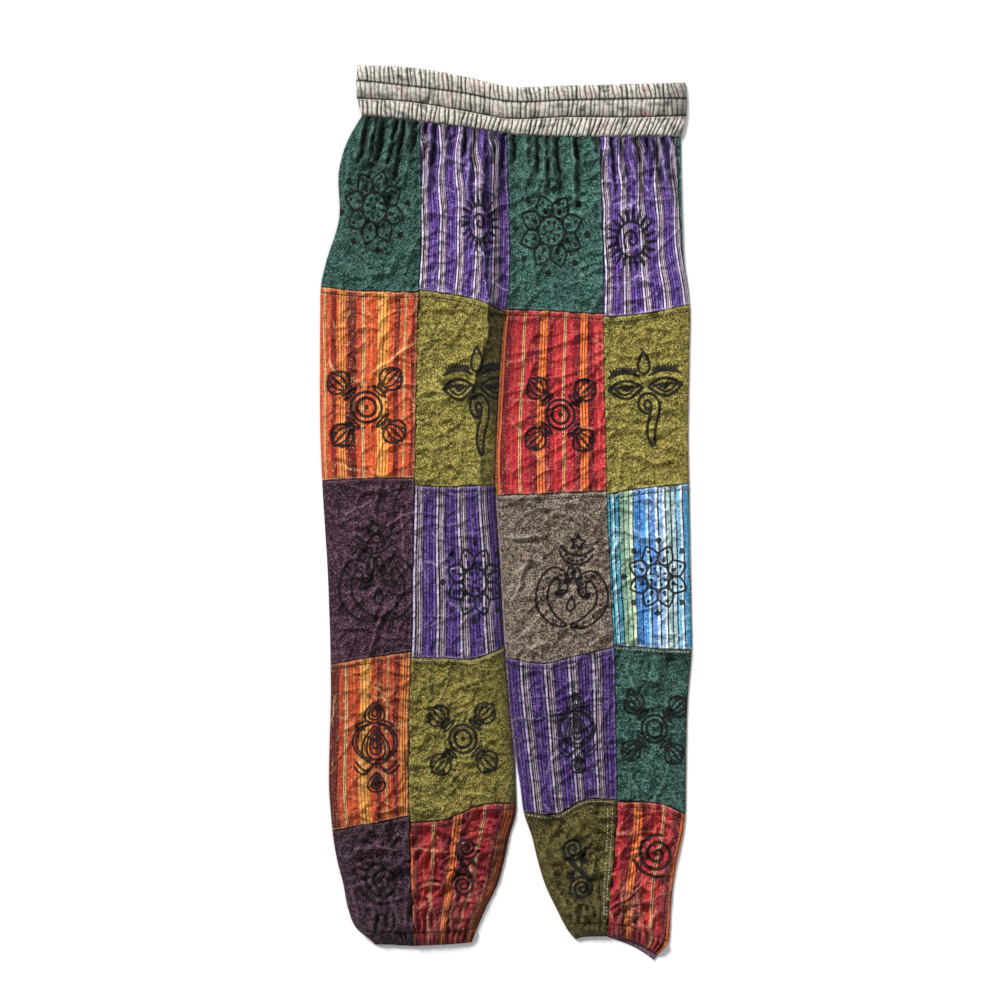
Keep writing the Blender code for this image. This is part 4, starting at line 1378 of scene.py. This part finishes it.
@dataclass
class Waistband:
    """The waistband: three channels of elastic, each gathered in its own rhythm."""

    draft: Draft
    grid_mm: float = 0.7
    gathers: int = 72
    wall: float = 1.6
    back_wall: float = 2.4
    puff: float = 2.0
    depth: float = 2.6
    end_taper: tuple[float, ...] = (2.0, 0.5, 1.0, 6.5)
    rows_a_channel: int = 20
    leans: tuple[float, ...] = (-0.5, 0.1, 1.0)
    depths: tuple[float, ...] = (1.0, 0.8, 1.0)
    lip_at: float = 0.685
    height: float = 60.0
    front_roll: float = 2.6
    lowest: float = 0.4
    back_grid_mm: float = 1.6
    back_rows: int = 36
    back_roll: float = 2.4
    map_stretch: float = 1.55
    map_height: float = 66.0
    cut_m: tuple[float, float] = (0.42, 0.072)

    def place(self, s: Array, t: Array) -> tuple[Array, Array, Array, Array]:
        """Finds the waistband's points.

        Args:
            s: Fractions across.
            t: Fractions down, a third for each channel.

        Returns:
            Places across and down, the channel and the fraction down it.
        """
        channel = np.clip((t * 3).astype(int), 0, 2)
        q = t * 3 - channel
        tapers = np.array(self.end_taper)
        taper = tapers[channel] * (1 - q) + tapers[channel + 1] * q
        start = BAND_STATIONS[0].across + taper
        across = start + (BAND_STATIONS[-1].across - taper - start) * s
        lines = np.stack([self.draft.band_line(n, across) for n in ("top", "stitch_1", "stitch_2", "bottom")])
        index = np.arange(len(s))
        upper, lower = lines[channel, index], lines[channel + 1, index]
        return across, upper + (lower - upper) * q, channel, q

    def gathered(self, s: Array, channel: Array, q: Array) -> Array:
        """Says how high each point stands in its gather, about 0 to 1."""
        rng = np.random.default_rng(31)
        height = np.ones_like(s)
        for which in range(3):
            mine = channel == which
            pitch = 1 / self.gathers
            across = s[mine]
            deepest = np.zeros(mine.sum())
            for k in range(self.gathers + 1):
                middle = (k + rng.uniform(-0.2, 0.2)) * pitch
                lean = (q[mine] - 0.5) * pitch * (self.leans[which] + rng.uniform(-0.4, 0.4))
                bend = 0.07 * pitch * np.sin(q[mine] * 5 + k)
                wide = pitch * rng.uniform(0.14, 0.27)
                depth = rng.uniform(0.65, 1.0) * self.depths[which]
                deepest = np.maximum(deepest, depth * bell(across - middle + lean + bend, 0, wide))
            height[mine] = 1 - deepest
        return height

    def build(self) -> None:
        """Makes the front and back of the waistband."""
        width = BAND_STATIONS[-1].across - BAND_STATIONS[0].across
        t_lines = np.linspace(0, 1, 3 * self.rows_a_channel + 1)
        s_lines = steps_across(width, self.grid_mm, True, True)
        front = ClothPiece("Waistband_front", Cloth.BAND, s_lines, t_lines)
        s, t = front.grid()
        across, down, channel, q = self.place(s, t)
        crest = self.gathered(s, channel, q)
        puff = np.sin(math.pi * np.clip(q, 0, 1)) ** 0.6
        end_distance = np.minimum(s, 1 - s) * width
        ends = rise(end_distance, 4)
        base = self.back_wall + self.draft.layer_gap + self.wall
        bulge = 0.35 * np.sin(s * 41 + channel * 2) + 0.25 * np.sin(s * 97 + channel)
        lip = bell(t, self.lip_at, 0.014) + 0.8 * bell(1 - t, 0, 0.016)
        up = base + ends * (self.puff * puff + self.depth * (crest - 0.5) * (0.5 + 0.5 * puff) + bulge * puff)
        up += ends * 1.1 * lip
        for distance in (end_distance, t * self.height, (1 - t) * self.height):
            up -= rolled(distance, self.front_roll)
        up = np.maximum(up, self.lowest)
        # Painted shade: dark down each gather and along the two channel stitch lines. The middle channel is
        # drawn darker in blotches towards its lower edge, the lips keep little of the painted shade, and the
        # band is darker towards its right end.
        edge = np.minimum(q, 1 - q)
        between = (t > 0.2) & (t < 0.8)
        painted_shade = np.clip(0.74 - crest, 0, 1) * 1.45 + 0.95 * bell(edge, 0, 0.05) * between
        blotch = np.sin(s * 61) * np.sin(s * 23 + 1.3) + 0.6 * np.sin(s * 131 + 0.5)
        painted_shade += (channel == 1) * (0.10 + 0.55 * np.clip(q - 0.35, 0, 1) * (0.6 + 0.7 * blotch))
        painted_shade = np.clip(painted_shade, 0, 1)
        painted_shade = painted_shade * (1 - 0.9 * np.clip(lip, 0, 1)) + 0.4 * np.clip((s - 0.9) * 10, 0, 1) * (t < 0.7)
        down = down + 0.5 * np.sin(s * 290) * (np.abs(t - 0.5) > 0.49)
        cloth_map = (s * width * self.map_stretch, t * self.map_height + 1000)
        made = front.build((across, down, up), cloth_map, {ATTRIBUTE_PAINTED_SHADE: np.clip(painted_shade, 0, 0.95)})
        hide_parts("waistband_front")
        LOG.info("%s: %d faces", made.name, len(made.data.polygons))
        self.build_back(width)

    def build_back(self, width: float) -> None:
        """Makes the back of the waistband, flat on the ground, with its edges turned up."""
        t_lines = np.linspace(0, 1, self.back_rows + 1)
        s_lines = steps_across(width, self.back_grid_mm, True, True)
        back = ClothPiece("Waistband_back", Cloth.BAND, s_lines, t_lines)
        s, t = back.grid()
        across, down, channel, q = self.place(s, t)
        crest = self.gathered(1 - s, channel, q)
        up = np.zeros_like(s)
        for distance in (np.minimum(s, 1 - s) * width, t * self.height, (1 - t) * self.height):
            up += rolled(distance, self.back_roll)
        up += 0.9 * np.clip(0.8 - crest, 0, 1)
        up = np.minimum(up, self.back_roll)
        # Painted shade down each gather.
        painted_shade = np.clip(np.clip(0.72 - crest, 0, 1) * 1.15, 0, 0.95)
        cloth_map = (s * width * self.map_stretch, t * self.map_height + 1400)
        made = back.build((across, down, up), cloth_map, {ATTRIBUTE_PAINTED_SHADE: painted_shade}, upward=False)
        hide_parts("waistband_back")


@dataclass
class Print:
    """A block print: strokes of ink, each a run of points with a half width at each.

    Motifs are drawn in mm about their own centre, with +y up the cloth.
    """

    across: float
    down: float
    scale: float = 1.0
    turn: float = 0.0
    squeeze: float = 1.0
    line: float = 1.3
    strokes: list[tuple[Array, Array]] = field(default_factory=list)

    def stroke(self, x: Array, y: Array, half_width: float | Array | None = None) -> None:
        """Adds one stroke through points, with one half width or one at each point."""
        points = np.stack([np.asarray(x, float), np.asarray(y, float)], axis=1)
        wide = self.line if half_width is None else half_width
        self.strokes.append((points, np.broadcast_to(np.asarray(wide, float), (len(points),))))

    def ring(self, x: float, y: float, radius: float, half_width: float | None = None) -> None:
        """Adds a ring."""
        a = np.linspace(0, 2 * math.pi, 40)
        self.stroke(x + radius * np.cos(a), y + radius * np.sin(a), half_width)

    def arc(
        self, x: float, y: float, radius: float, start: float, end: float, half_width: float | None = None
    ) -> None:
        """Adds part of a ring, between two angles in degrees."""
        a = np.radians(np.linspace(start, end, 24))
        self.stroke(x + radius * np.cos(a), y + radius * np.sin(a), half_width)

    def dot(self, x: float, y: float, radius: float) -> None:
        """Adds a filled dot."""
        self.stroke(np.array([x, x + 0.01]), np.array([y, y]), radius)

    def drop(
        self, x: float, y: float, length: float, width: float, angle: float, half_width: float | None = None
    ) -> None:
        """Adds a drop's outline with its point along an angle.

        Args:
            x: Its middle, across.
            y: Its middle, up.
            length: Its length.
            width: Its width.
            angle: The way its point looks, in degrees.
            half_width: The line's half width.
        """
        u = np.linspace(0, 2 * math.pi, 36)
        along = length / 2 * np.cos(u)
        aside = width / 2 * np.sin(u) * np.sin(u / 2) ** 0.9 * 1.25
        c, s = unit(angle)
        self.stroke(x + along * c - aside * s, y + along * s + aside * c, half_width)

    def seed(self, x: float, y: float, length: float, width: float, angle: float) -> None:
        """Adds a filled drop with its thick end along an angle."""
        c, s = unit(angle)
        along = (length - width) * np.array([-0.5, 0.5])
        self.stroke(x + along * c, y + along * s, np.array([0.12, 0.5]) * width)

    def bar(self, x: float, y: float, length: float, angle: float, half_width: float | Array) -> None:
        """Adds a straight bar about a middle point."""
        c, s = unit(angle)
        along = np.array([-0.5, 0.5]) * length
        self.stroke(x + along * c, y + along * s, half_width)

    def ribbon(self, x: Sequence[float], y: Sequence[float], widths: Sequence[float], dots: int = 0) -> None:
        """Adds the outline of a tapering band along a smooth line, with dots down its middle.

        Args:
            x: Places across along its middle.
            y: Places up along its middle.
            widths: Its half width at each place.
            dots: How many dots fill it.
        """
        at, fine = np.arange(len(x), dtype=float), np.linspace(0, len(x) - 1, 60)
        cx, cy, wide = (curve(at, values, fine) for values in (x, y, widths))
        dx, dy = np.gradient(cx), np.gradient(cy)
        run = np.hypot(dx, dy)
        nx, ny = -dy / run, dx / run
        outline_x = np.concatenate((cx + nx * wide, (cx - nx * wide)[::-1], cx[:1] + nx[:1] * wide[:1]))
        outline_y = np.concatenate((cy + ny * wide, (cy - ny * wide)[::-1], cy[:1] + ny[:1] * wide[:1]))
        self.stroke(outline_x, outline_y)
        for k in range(dots):
            n = int((k + 0.7) / (dots + 0.4) * 59)
            self.dot(cx[n] + 0.5 * (-1) ** k, cy[n], 1.3)

    def spiral(
        self, x: float, y: float, inner: float, outer: float, turns: float, start: float, way: int = 1
    ) -> None:
        """Adds a spiral that opens from inner to outer.

        Args:
            x: Its middle, across.
            y: Its middle, up.
            inner: Its first radius.
            outer: Its last radius.
            turns: How many turns it makes.
            start: The angle that it starts at, in degrees.
            way: 1 anticlockwise, -1 clockwise.
        """
        u = np.linspace(0, 1, int(30 * turns) + 2)
        radius = inner + (outer - inner) * u
        a = math.radians(start) + way * 2 * math.pi * turns * u
        self.stroke(x + radius * np.cos(a), y + radius * np.sin(a))

    def inked(self, across: Array, down: Array) -> Array:
        """Measures how far each point of the cloth is from the ink's edge, less than 0 in the ink.

        Args:
            across: Places across.
            down: Places down.

        Returns:
            The distances in mm, up to 9.
        """
        c, s = unit(self.turn)
        x, y = (across - self.across) / (self.scale * self.squeeze), -(down - self.down) / self.scale
        px, py = x * c + y * s, -x * s + y * c
        px = px + 0.5 * np.sin(py / 9)
        distance = np.full_like(px, 9.0)
        for points, widths in self.strokes:
            low, high = points.min(axis=0) - 5, points.max(axis=0) + 5
            near = np.nonzero((px > low[0]) & (px < high[0]) & (py > low[1]) & (py < high[1]))[0]
            if not len(near):
                continue
            qx, qy = px[near, None], py[near, None]
            dx, dy = np.diff(points[:, 0]), np.diff(points[:, 1])
            ax, ay = points[:-1, 0], points[:-1, 1]
            part = np.clip(((qx - ax) * dx + (qy - ay) * dy) / np.maximum(dx * dx + dy * dy, 1e-9), 0, 1)
            wide = widths[:-1] + np.diff(widths) * part
            gap = (np.hypot(qx - ax - part * dx, qy - ay - part * dy) - wide).min(axis=1)
            distance[near] = np.minimum(distance[near], gap * self.scale)
        return distance


def mandala(made: Print) -> None:
    """Draws a round flower of eight pointed petals with drops between them."""
    made.ring(0, 0, 14.6, 0.95)
    made.dot(0, 0, 1.6)
    for k in range(8):
        a = 45 * k + 22.5
        c, s = unit(a)
        b = math.radians(45 * k)
        made.seed(8.0 * c, 8.0 * s, 6.0, 3.0, a)
        u = np.linspace(0, 1, 24)
        for way in (1, -1):
            out = 15.0 + 21.5 * u
            aside = way * (2.2 * (1 - u) + 9.2 * np.sin(math.pi * u**0.85) ** 0.8 * (1 - 0.25 * u))
            made.stroke(out * c - aside * s, out * s + aside * c, 1.0)
        made.seed(21.8 * c, 21.8 * s, 8.6, 4.6, a + 180)
        made.dot(29.8 * c, 29.8 * s, 1.7)
        made.seed(39.0 * math.cos(b), 39.0 * math.sin(b), 10.0, 7.0, 45 * k)


def sun(made: Print) -> None:
    """Draws a sun: a spiral in a ring, with thick tapering rays."""
    made.ring(0, 0, 18.5, 1.3)
    made.spiral(0.5, -0.5, 1.5, 11.5, 1.35, 90)
    for k in range(20):
        a = 18 * k + 6
        c, s = unit(a)
        made.bar(27.0 * c, 27.0 * s, 10.5, a + 9, np.array([2.2, 0.9]))


def crossed_sceptres(made: Print) -> None:
    """Draws the traditional crossed double sceptre: a wheel with four pronged heads."""
    made.ring(0, 0, 17.0, 1.4)
    made.ring(0, 0, 10.5, 1.6)
    made.dot(0, 0, 2.6)
    for k in range(4):
        a = 45 + 90 * k
        c, s = unit(a)

        def at(out: Array, aside: Array) -> tuple[Array, Array]:
            return out * c - aside * s, out * s + aside * c

        loop = np.linspace(0, 2 * math.pi, 30)
        made.stroke(*at(23.0 + 2.0 * np.cos(loop), 9.5 * np.sin(loop)), 0.9)
        made.stroke(*at(28.4 + 1.7 * np.cos(loop), 7.0 * np.sin(loop)), 0.85)
        v = np.linspace(0, 1, 24)
        for way in (1, -1):
            made.dot(*at(19.0, way * 13.0), 1.1)
            outer = 4.2 * (1 - v) + 9.6 * np.sin(math.pi * v**0.8) ** 0.75 + 3.4 * v
            inner = 1.6 + 5.0 * np.sin(math.pi * v**0.8) ** 0.8
            made.stroke(*at(31 + 25 * v - 3 * v**6, way * outer), 1.15)
            made.stroke(*at(32 + 24 * v, way * inner), 0.85)
            made.stroke(*at(44 + 7 * v, way * (8.6 + 2.2 * np.sin(math.pi * v) - 3 * v)), 0.8)
        made.stroke(*at(np.array([34.0, 44.0, 55.0]), np.zeros(3)), np.array([0.6, 1.5, 0.7]))


def calm_eyes(made: Print) -> None:
    """Draws a pair of calm eyes under brows, with a drop above and a curl below, on even proportions."""
    made.drop(0, 32, 23, 13, 90)
    v = np.linspace(0, 1, 26)
    for way in (1, -1):
        brow = 14.5 + 9 * np.sin(math.pi * (0.12 + 0.74 * v))
        made.stroke(way * (5 + 34 * v), brow, 0.9 + 1.4 * np.sin(math.pi * v))
        made.stroke(way * (3.5 + 36 * v), 5.5 + 8.5 * np.sin(math.pi * v) ** 0.8, 1.4)
        made.stroke(way * (3.5 + 36 * v), 5.5 - 10.5 * np.sin(math.pi * v) ** 1.1, 1.4)
        made.stroke(way * (9 + 26 * v), 6.5 + 1.6 * np.sin(math.pi * v), 1.2)
        made.stroke(way * (12 + 20 * v), 5.0 - 5.5 * np.sin(math.pi * v), 0.9)
        made.stroke(way * np.array([17.0, 23.5]), np.array([6.4, 6.4]), 2.1)
        made.dot(way * 20.3, 4.6, 2.2)
        for k in range(9):
            x = 10 + 3.2 * k
            y = 24.6 + 2.2 * math.sin(math.pi * (k + 1) / 10)
            made.bar(way * x, y, 3.6, 90 - way * 22, np.array([1.1, 0.6]))
    made.ribbon(
        (2.0, -1.5, -6.5, -4.0, 3.0, 8.0, 7.0, 3.5, 2.0, 3.0),
        (-17, -20, -14, -6.5, -5, -12, -23, -35, -46, -57),
        (0.8, 2.4, 3.2, 3.6, 3.9, 4.3, 4.6, 4.4, 3.9, 1.8),
    )


def dotted_leaves(made: Print) -> None:
    """Draws curled leaves filled with dots, under a crescent and a star."""
    made.line = 1.05
    a = np.radians(90 + 36 * np.arange(11))
    radius = np.where(np.arange(11) % 2 == 0, 8.0, 4.2)
    made.stroke(radius * np.cos(a), 41 + radius * np.sin(a), 1.1)
    made.arc(0, 36, 18.5, 200, 340, 1.1)
    made.arc(0, 49, 21.5, 218, 322, 1.3)
    for k in range(6):
        b = math.radians(218 + 20.8 * k)
        made.dot(13.6 * math.cos(b), 35.0 + 13.6 * math.sin(b), 1.45)
    for way in (1, -1):
        made.ribbon(
            (way * 3, way * 17, way * 30, way * 31, way * 21, way * 10, way * 11, way * 17),
            (-47, -42, -27, -8, 7, 2, -11, -15), (1.5, 5.0, 6.0, 5.8, 5.4, 4.8, 3.8, 2.0), 11,
        )
        made.ribbon((way * 3, way * 5, way * 6), (14, 4, -4), (2.0, 3.4, 1.0))
    made.drop(0, -24, 15, 8, 90)


def nested_bud(made: Print) -> None:
    """Draws an upright bud of drops one inside the other, with a small one above and a ring below."""
    for length, width in ((40, 29), (31, 20), (22, 12), (11, 5)):
        made.drop(0, 2 + (40 - length) * 0.05, length, width, 90, 0.85)
    for length, width in ((22, 21), (15, 13), (8, 6)):
        made.drop(0, 36, length, width, 90, 0.85)
    for length, width in ((20, 18), (13, 10), (7, 4)):
        made.drop(0, -37, length, width, 90, 0.85)
    v = np.linspace(0, 1, 20)
    for way in (1, -1):
        for out in (0.0, 3.4):
            made.stroke(way * (4 + out + 15.5 * np.sin(math.pi * v) ** 0.6), 24 - 38 * v, 0.85)
        made.stroke(way * (21 - 17 * v), -15 - 9 * np.sin(math.pi * v * 0.8), 1.0)
        made.stroke(way * (23 - 16 * v), -20 - 8 * np.sin(math.pi * v * 0.8), 0.85)
        made.stroke(way * (10 + 9 * np.sin(math.pi * v)), 27 - 9 * v, 0.9)


def wound_spiral(made: Print) -> None:
    """Draws one spiral with a tail."""
    made.line = 1.6
    made.spiral(0, 2, 1.6, 21, 2.35, 200, -1)
    made.arc(0, 4, 27, 200, 285)


def double_spiral(made: Print) -> None:
    """Draws two small spirals joined by a crossed neck."""
    made.spiral(-1, 20, 1.2, 12.5, 2.3, 250, 1)
    made.spiral(1, -20, 1.2, 12.5, 2.3, 70, 1)
    v = np.linspace(0, 1, 20)
    for way in (1, -1):
        made.stroke(way * (-12 + 19 * v + 2 * np.sin(math.pi * v)), way * (13 - 21 * v), 1.1)
        made.stroke(way * (-5 + 13 * v), way * (9 - 19 * v), 0.9)
        made.stroke(way * (4 + 7 * v), way * (2 + 7 * np.sin(math.pi * v)), 0.95)
        made.dot(way * 7.0, way * 5.0, 1.6)


DRAWN_SIZES = {
    mandala: 40.0, sun: 34.0, crossed_sceptres: 56.0, calm_eyes: 80.0,
    dotted_leaves: 96.0, nested_bud: 96.0, wound_spiral: 26.0, double_spiral: 66.0,
}


def printed(
    motif: Callable[[Print], None],
    across: float,
    down: float,
    size: float,
    turn: float = 0.0,
    squeeze: float = 1.0,
) -> Print:
    """Prints a motif on the cloth.

    Args:
        motif: What draws it.
        across: Its middle.
        down: Its middle.
        size: Its radius if it is round, the eyes' width, or else its height.
        turn: Its turn in degrees.
        squeeze: How narrow the gathers or folds pull it.

    Returns:
        The print.
    """
    made = Print(across, down, size / DRAWN_SIZES[motif], turn, squeeze)
    motif(made)
    return made


PRINTS = {
    (1, 1): (mandala, -144, 157, 46, 6, 0.78),
    (1, 2): (sun, -29, 173, 34, 0, 0.62),
    (1, 3): (mandala, 50, 183, 45, -4, 0.86),
    (1, 4): (sun, 138, 192, 36, 8, 0.78),
    (2, 1): (crossed_sceptres, -153, 376, 55, 4),
    (2, 2): (calm_eyes, -31, 361, 94, 2, 0.8),
    (2, 3): (crossed_sceptres, 60, 384, 53, -2, 0.95),
    (2, 4): (calm_eyes, 154, 360, 82, 5),
    (3, 1): (dotted_leaves, -142, 556, 108, 4),
    (3, 2): (mandala, -34, 568, 42, 0, 0.82),
    (3, 3): (dotted_leaves, 74, 567, 100, -6),
    (3, 4): (mandala, 167, 562, 39, 0, 0.94),
    (4, 1): (nested_bud, -143, 749, 101, 2, 1.02),
    (4, 2): (crossed_sceptres, -47, 740, 51, 3, 0.96),
    (4, 3): (nested_bud, 78, 733, 90, 3, 0.95),
    (4, 4): (crossed_sceptres, 163, 729, 50, -4, 0.92),
    (5, 1): (wound_spiral, -135, 898, 26, 0),
    (5, 2): (double_spiral, -45, 880, 68, -9),
    (5, 3): (double_spiral, 79, 882, 72, 9),
    (5, 4): (wound_spiral, 166, 868, 26, 0),
}


@dataclass
class Topstitching:
    """Rows of lockstitch, each stitch a small bead of thread that dips in at its two ends."""

    draft: Draft
    length: float = 3.1
    gap: float = 0.9
    thickness: float = 1.25
    row_gap: float = 3.4
    dip: float = 0.35
    swell: tuple[float, ...] = (0.35, 1.0, 1.0, 0.35)
    sides: int = 5
    above_cloth: float = 0.12
    ray_start_m: float = 0.05
    side_rows: tuple[float, ...] = (0.05, 0.10)
    doubled: tuple[tuple[int, int], ...] = ((4, 2), (5, 3), (3, 3), (4, 4))

    def stitch_line(self, name: str, points: Array, thread: SewingThread) -> bpy.types.Object:
        """Sews one line.

        Args:
            name: The line's name.
            points: The line's points, in mm, with the height as the third number.
            thread: The thread's finish.

        Returns:
            The sewn line.
        """
        legs = np.diff(points, axis=0)
        run = np.concatenate(([0], np.cumsum(np.linalg.norm(legs, axis=1))))
        count = max(1, int(run[-1] / (self.length + self.gap)))
        bm = bmesh.new()
        for k in range(count):
            start = (k + 0.12) * run[-1] / count
            stops = start + np.linspace(0, self.length, 4)
            path = np.stack([np.interp(stops, run, points[:, n]) for n in range(3)], axis=1)
            path[[0, -1], 2] -= self.dip
            rows = []
            for n, size in enumerate(self.swell):
                ahead = path[min(n + 1, 3)] - path[max(n - 1, 0)]
                side = np.array([-ahead[1], ahead[0], 0.0])
                side /= np.linalg.norm(side) + 1e-9
                rows.append([
                    bm.verts.new((
                        path[n] + side * math.cos(a) * self.thickness / 2 * size
                        + np.array([0, 0, 1]) * math.sin(a) * self.thickness / 2 * size
                    ) * MM)
                    for a in np.linspace(0, 2 * math.pi, self.sides, endpoint=False)
                ])
            for upper, lower in zip(rows, rows[1:]):
                for n in range(self.sides):
                    after = (n + 1) % self.sides
                    bm.faces.new((upper[n], upper[after], lower[after], lower[n]))
            bm.faces.new(rows[0][::-1])
            bm.faces.new(rows[-1])
        bmesh.ops.recalc_face_normals(bm, faces=bm.faces)
        mesh = bpy.data.meshes.new(name)
        bm.to_mesh(mesh)
        bm.free()
        mesh.shade_smooth()
        mesh.materials.append(material_of(thread))
        piece = bpy.data.objects.new(name, mesh)
        bpy.context.scene.collection.objects.link(piece)
        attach(piece, "root")
        return piece

    def along(self, name: str, across: Array, down: Array, thread: SewingThread, slot: Cloth) -> None:
        """Sews a line on whatever front cloth lies under it."""
        graph = bpy.context.evaluated_depsgraph_get()
        points = []
        for a, d in zip(across, down):
            start = (a * MM, (LENGTH / 2 - d) * MM, self.ray_start_m)
            hit, spot, *_ = bpy.context.scene.ray_cast(
                graph, start, (0, 0, -1), distance=self.ray_start_m - MM
            )
            points.append((a, LENGTH / 2 - d, spot.z / MM + self.above_cloth if hit else np.nan))
        line = np.array(points)
        missed = np.isnan(line[:, 2])
        line[missed, 2] = np.nanmedian(line[:, 2])
        self.stitch_line(name, line, thread)

    def build(self, legs: PatchworkLegs, band: Waistband) -> None:
        """Sews the felled seams, the cuffs and the waistband's channels."""
        bpy.context.view_layer.update()
        for row in ROWS[1:]:
            for column in COLUMNS:
                s = np.linspace(0.02, 0.98, 60)
                top = self.draft.cross_line(row, column, s, Side.FRONT)
                down = top + legs.stitch_depth
                length = self.draft.cross_line(row + 1, column, s, Side.FRONT) - top
                across, _ = self.draft.place(row, column, s, (down - top) / length, Side.FRONT)
                self.along(f"Seam_topstitch_r{row}c{column}", across, down, DARK_THREAD, Cloth.PLUM)
                if (row, column) in self.doubled:
                    name = f"Seam_second_stitch_r{row}c{column}"
                    self.along(name, across, down - self.row_gap, PALE_THREAD, Cloth.BAND)
        t = np.linspace(0.06, 0.84, 60)
        for n, aside in enumerate(self.side_rows):
            across, down = self.draft.place(5, 3, np.full_like(t, 1 - aside), t, Side.FRONT)
            self.along(f"Side_topstitch_{n + 1}", across, down, PALE_THREAD, Cloth.BAND)
        for column in COLUMNS:
            s = np.linspace(0.04, 0.96, 50)
            hem = self.draft.cross_line(6, column, s, Side.FRONT)
            top = self.draft.cross_line(5, column, s, Side.FRONT)
            down = hem - legs.casing_height
            across, _ = self.draft.place(5, column, s, (down - top) / (hem - top), Side.FRONT)
            self.along(f"Cuff_topstitch_c{column}", across, down, DARK_THREAD, Cloth.PLUM)
        # The channels are sewn in the dark thread, drawn dark partly as thread and partly as painted shade in
        # the stitched grooves.
        for n, t in enumerate((1 / 3, 2 / 3)):
            s = np.linspace(0.01, 0.99, 240)
            across, down, _, _ = band.place(s, np.full_like(s, t))
            self.along(f"Waistband_channel_stitch_{n + 1}", across, down, DARK_THREAD, Cloth.BAND)


@dataclass
class Studio:
    """A plain pale floor, soft light and the photo's view from straight above."""

    view_across_m: float = 1.1
    centre: tuple[float, float] = (-0.0064, 0.0139)
    camera_height: float = 3.4
    sensor_mm: float = 36.0
    floor_reach: float = 4.0
    floor_height: float = -0.0004
    air_strength: float = 0.30

    def build(self) -> None:
        """Makes the floor, the lights, the world and the camera."""
        bm = bmesh.new()
        bmesh.ops.create_grid(bm, x_segments=1, y_segments=1, size=self.floor_reach)
        mesh = bpy.data.meshes.new("floor")
        bm.to_mesh(mesh)
        bm.free()
        material = bpy.data.materials.new("Matt_white_paper")
        material.use_nodes = True
        shader = material.node_tree.nodes["Principled BSDF"]
        shader.inputs["Base Color"].default_value = linear("#fafafa")
        shader.inputs["Roughness"].default_value = 0.95
        mesh.materials.append(material)
        floor = bpy.data.objects.new("floor", mesh)
        floor.location.z = self.floor_height
        bpy.context.scene.collection.objects.link(floor)
        self.sun("Key", strength=3.75, spread_degrees=14.0, source=(-0.62, 1.0, 0.78))
        self.sun("Fill", strength=0.5, spread_degrees=60.0, source=(1.0, -0.7, 1.3))
        world = bpy.data.worlds.new("Studio_air")
        world.use_nodes = True
        background = world.node_tree.nodes["Background"]
        background.inputs["Color"].default_value = (1.0, 1.0, 1.0, 1.0)
        background.inputs["Strength"].default_value = self.air_strength
        bpy.context.scene.world = world
        data = bpy.data.cameras.new("Camera")
        data.sensor_width = self.sensor_mm
        data.lens = self.sensor_mm * self.camera_height / self.view_across_m
        camera = bpy.data.objects.new("Camera", data)
        camera.location = (*self.centre, self.camera_height)
        bpy.context.scene.collection.objects.link(camera)
        bpy.context.scene.camera = camera
        bpy.context.scene.view_settings.view_transform = "Standard"

    def sun(
        self, name: str, strength: float, spread_degrees: float, source: tuple[float, float, float]
    ) -> None:
        """Hangs one soft, even light.

        Args:
            name: The light's name.
            strength: Its strength in watts a square metre.
            spread_degrees: How wide it looks from the floor, which softens its shadows.
            source: Where it comes from.
        """
        data = bpy.data.lights.new(name, "SUN")
        data.energy = strength
        data.angle = math.radians(spread_degrees)
        lamp = bpy.data.objects.new(name, data)
        lamp.location = source
        distance = math.hypot(source[0], source[1])
        lamp.rotation_euler = (math.atan2(distance, source[2]), 0.0, math.atan2(source[0], -source[1]))
        bpy.context.scene.collection.objects.link(lamp)


def main() -> None:
    """Builds the trousers and the studio, and hides the parts from model.glb that they stand for."""
    logging.basicConfig(level=logging.INFO, format="%(message)s")
    draft = Draft()
    Studio().build()
    legs = PatchworkLegs(draft, prints=PRINTS)
    legs.build()
    band = Waistband(draft)
    band.build()
    Topstitching(draft).build(legs, band)


if __name__ == "__main__":
    main()
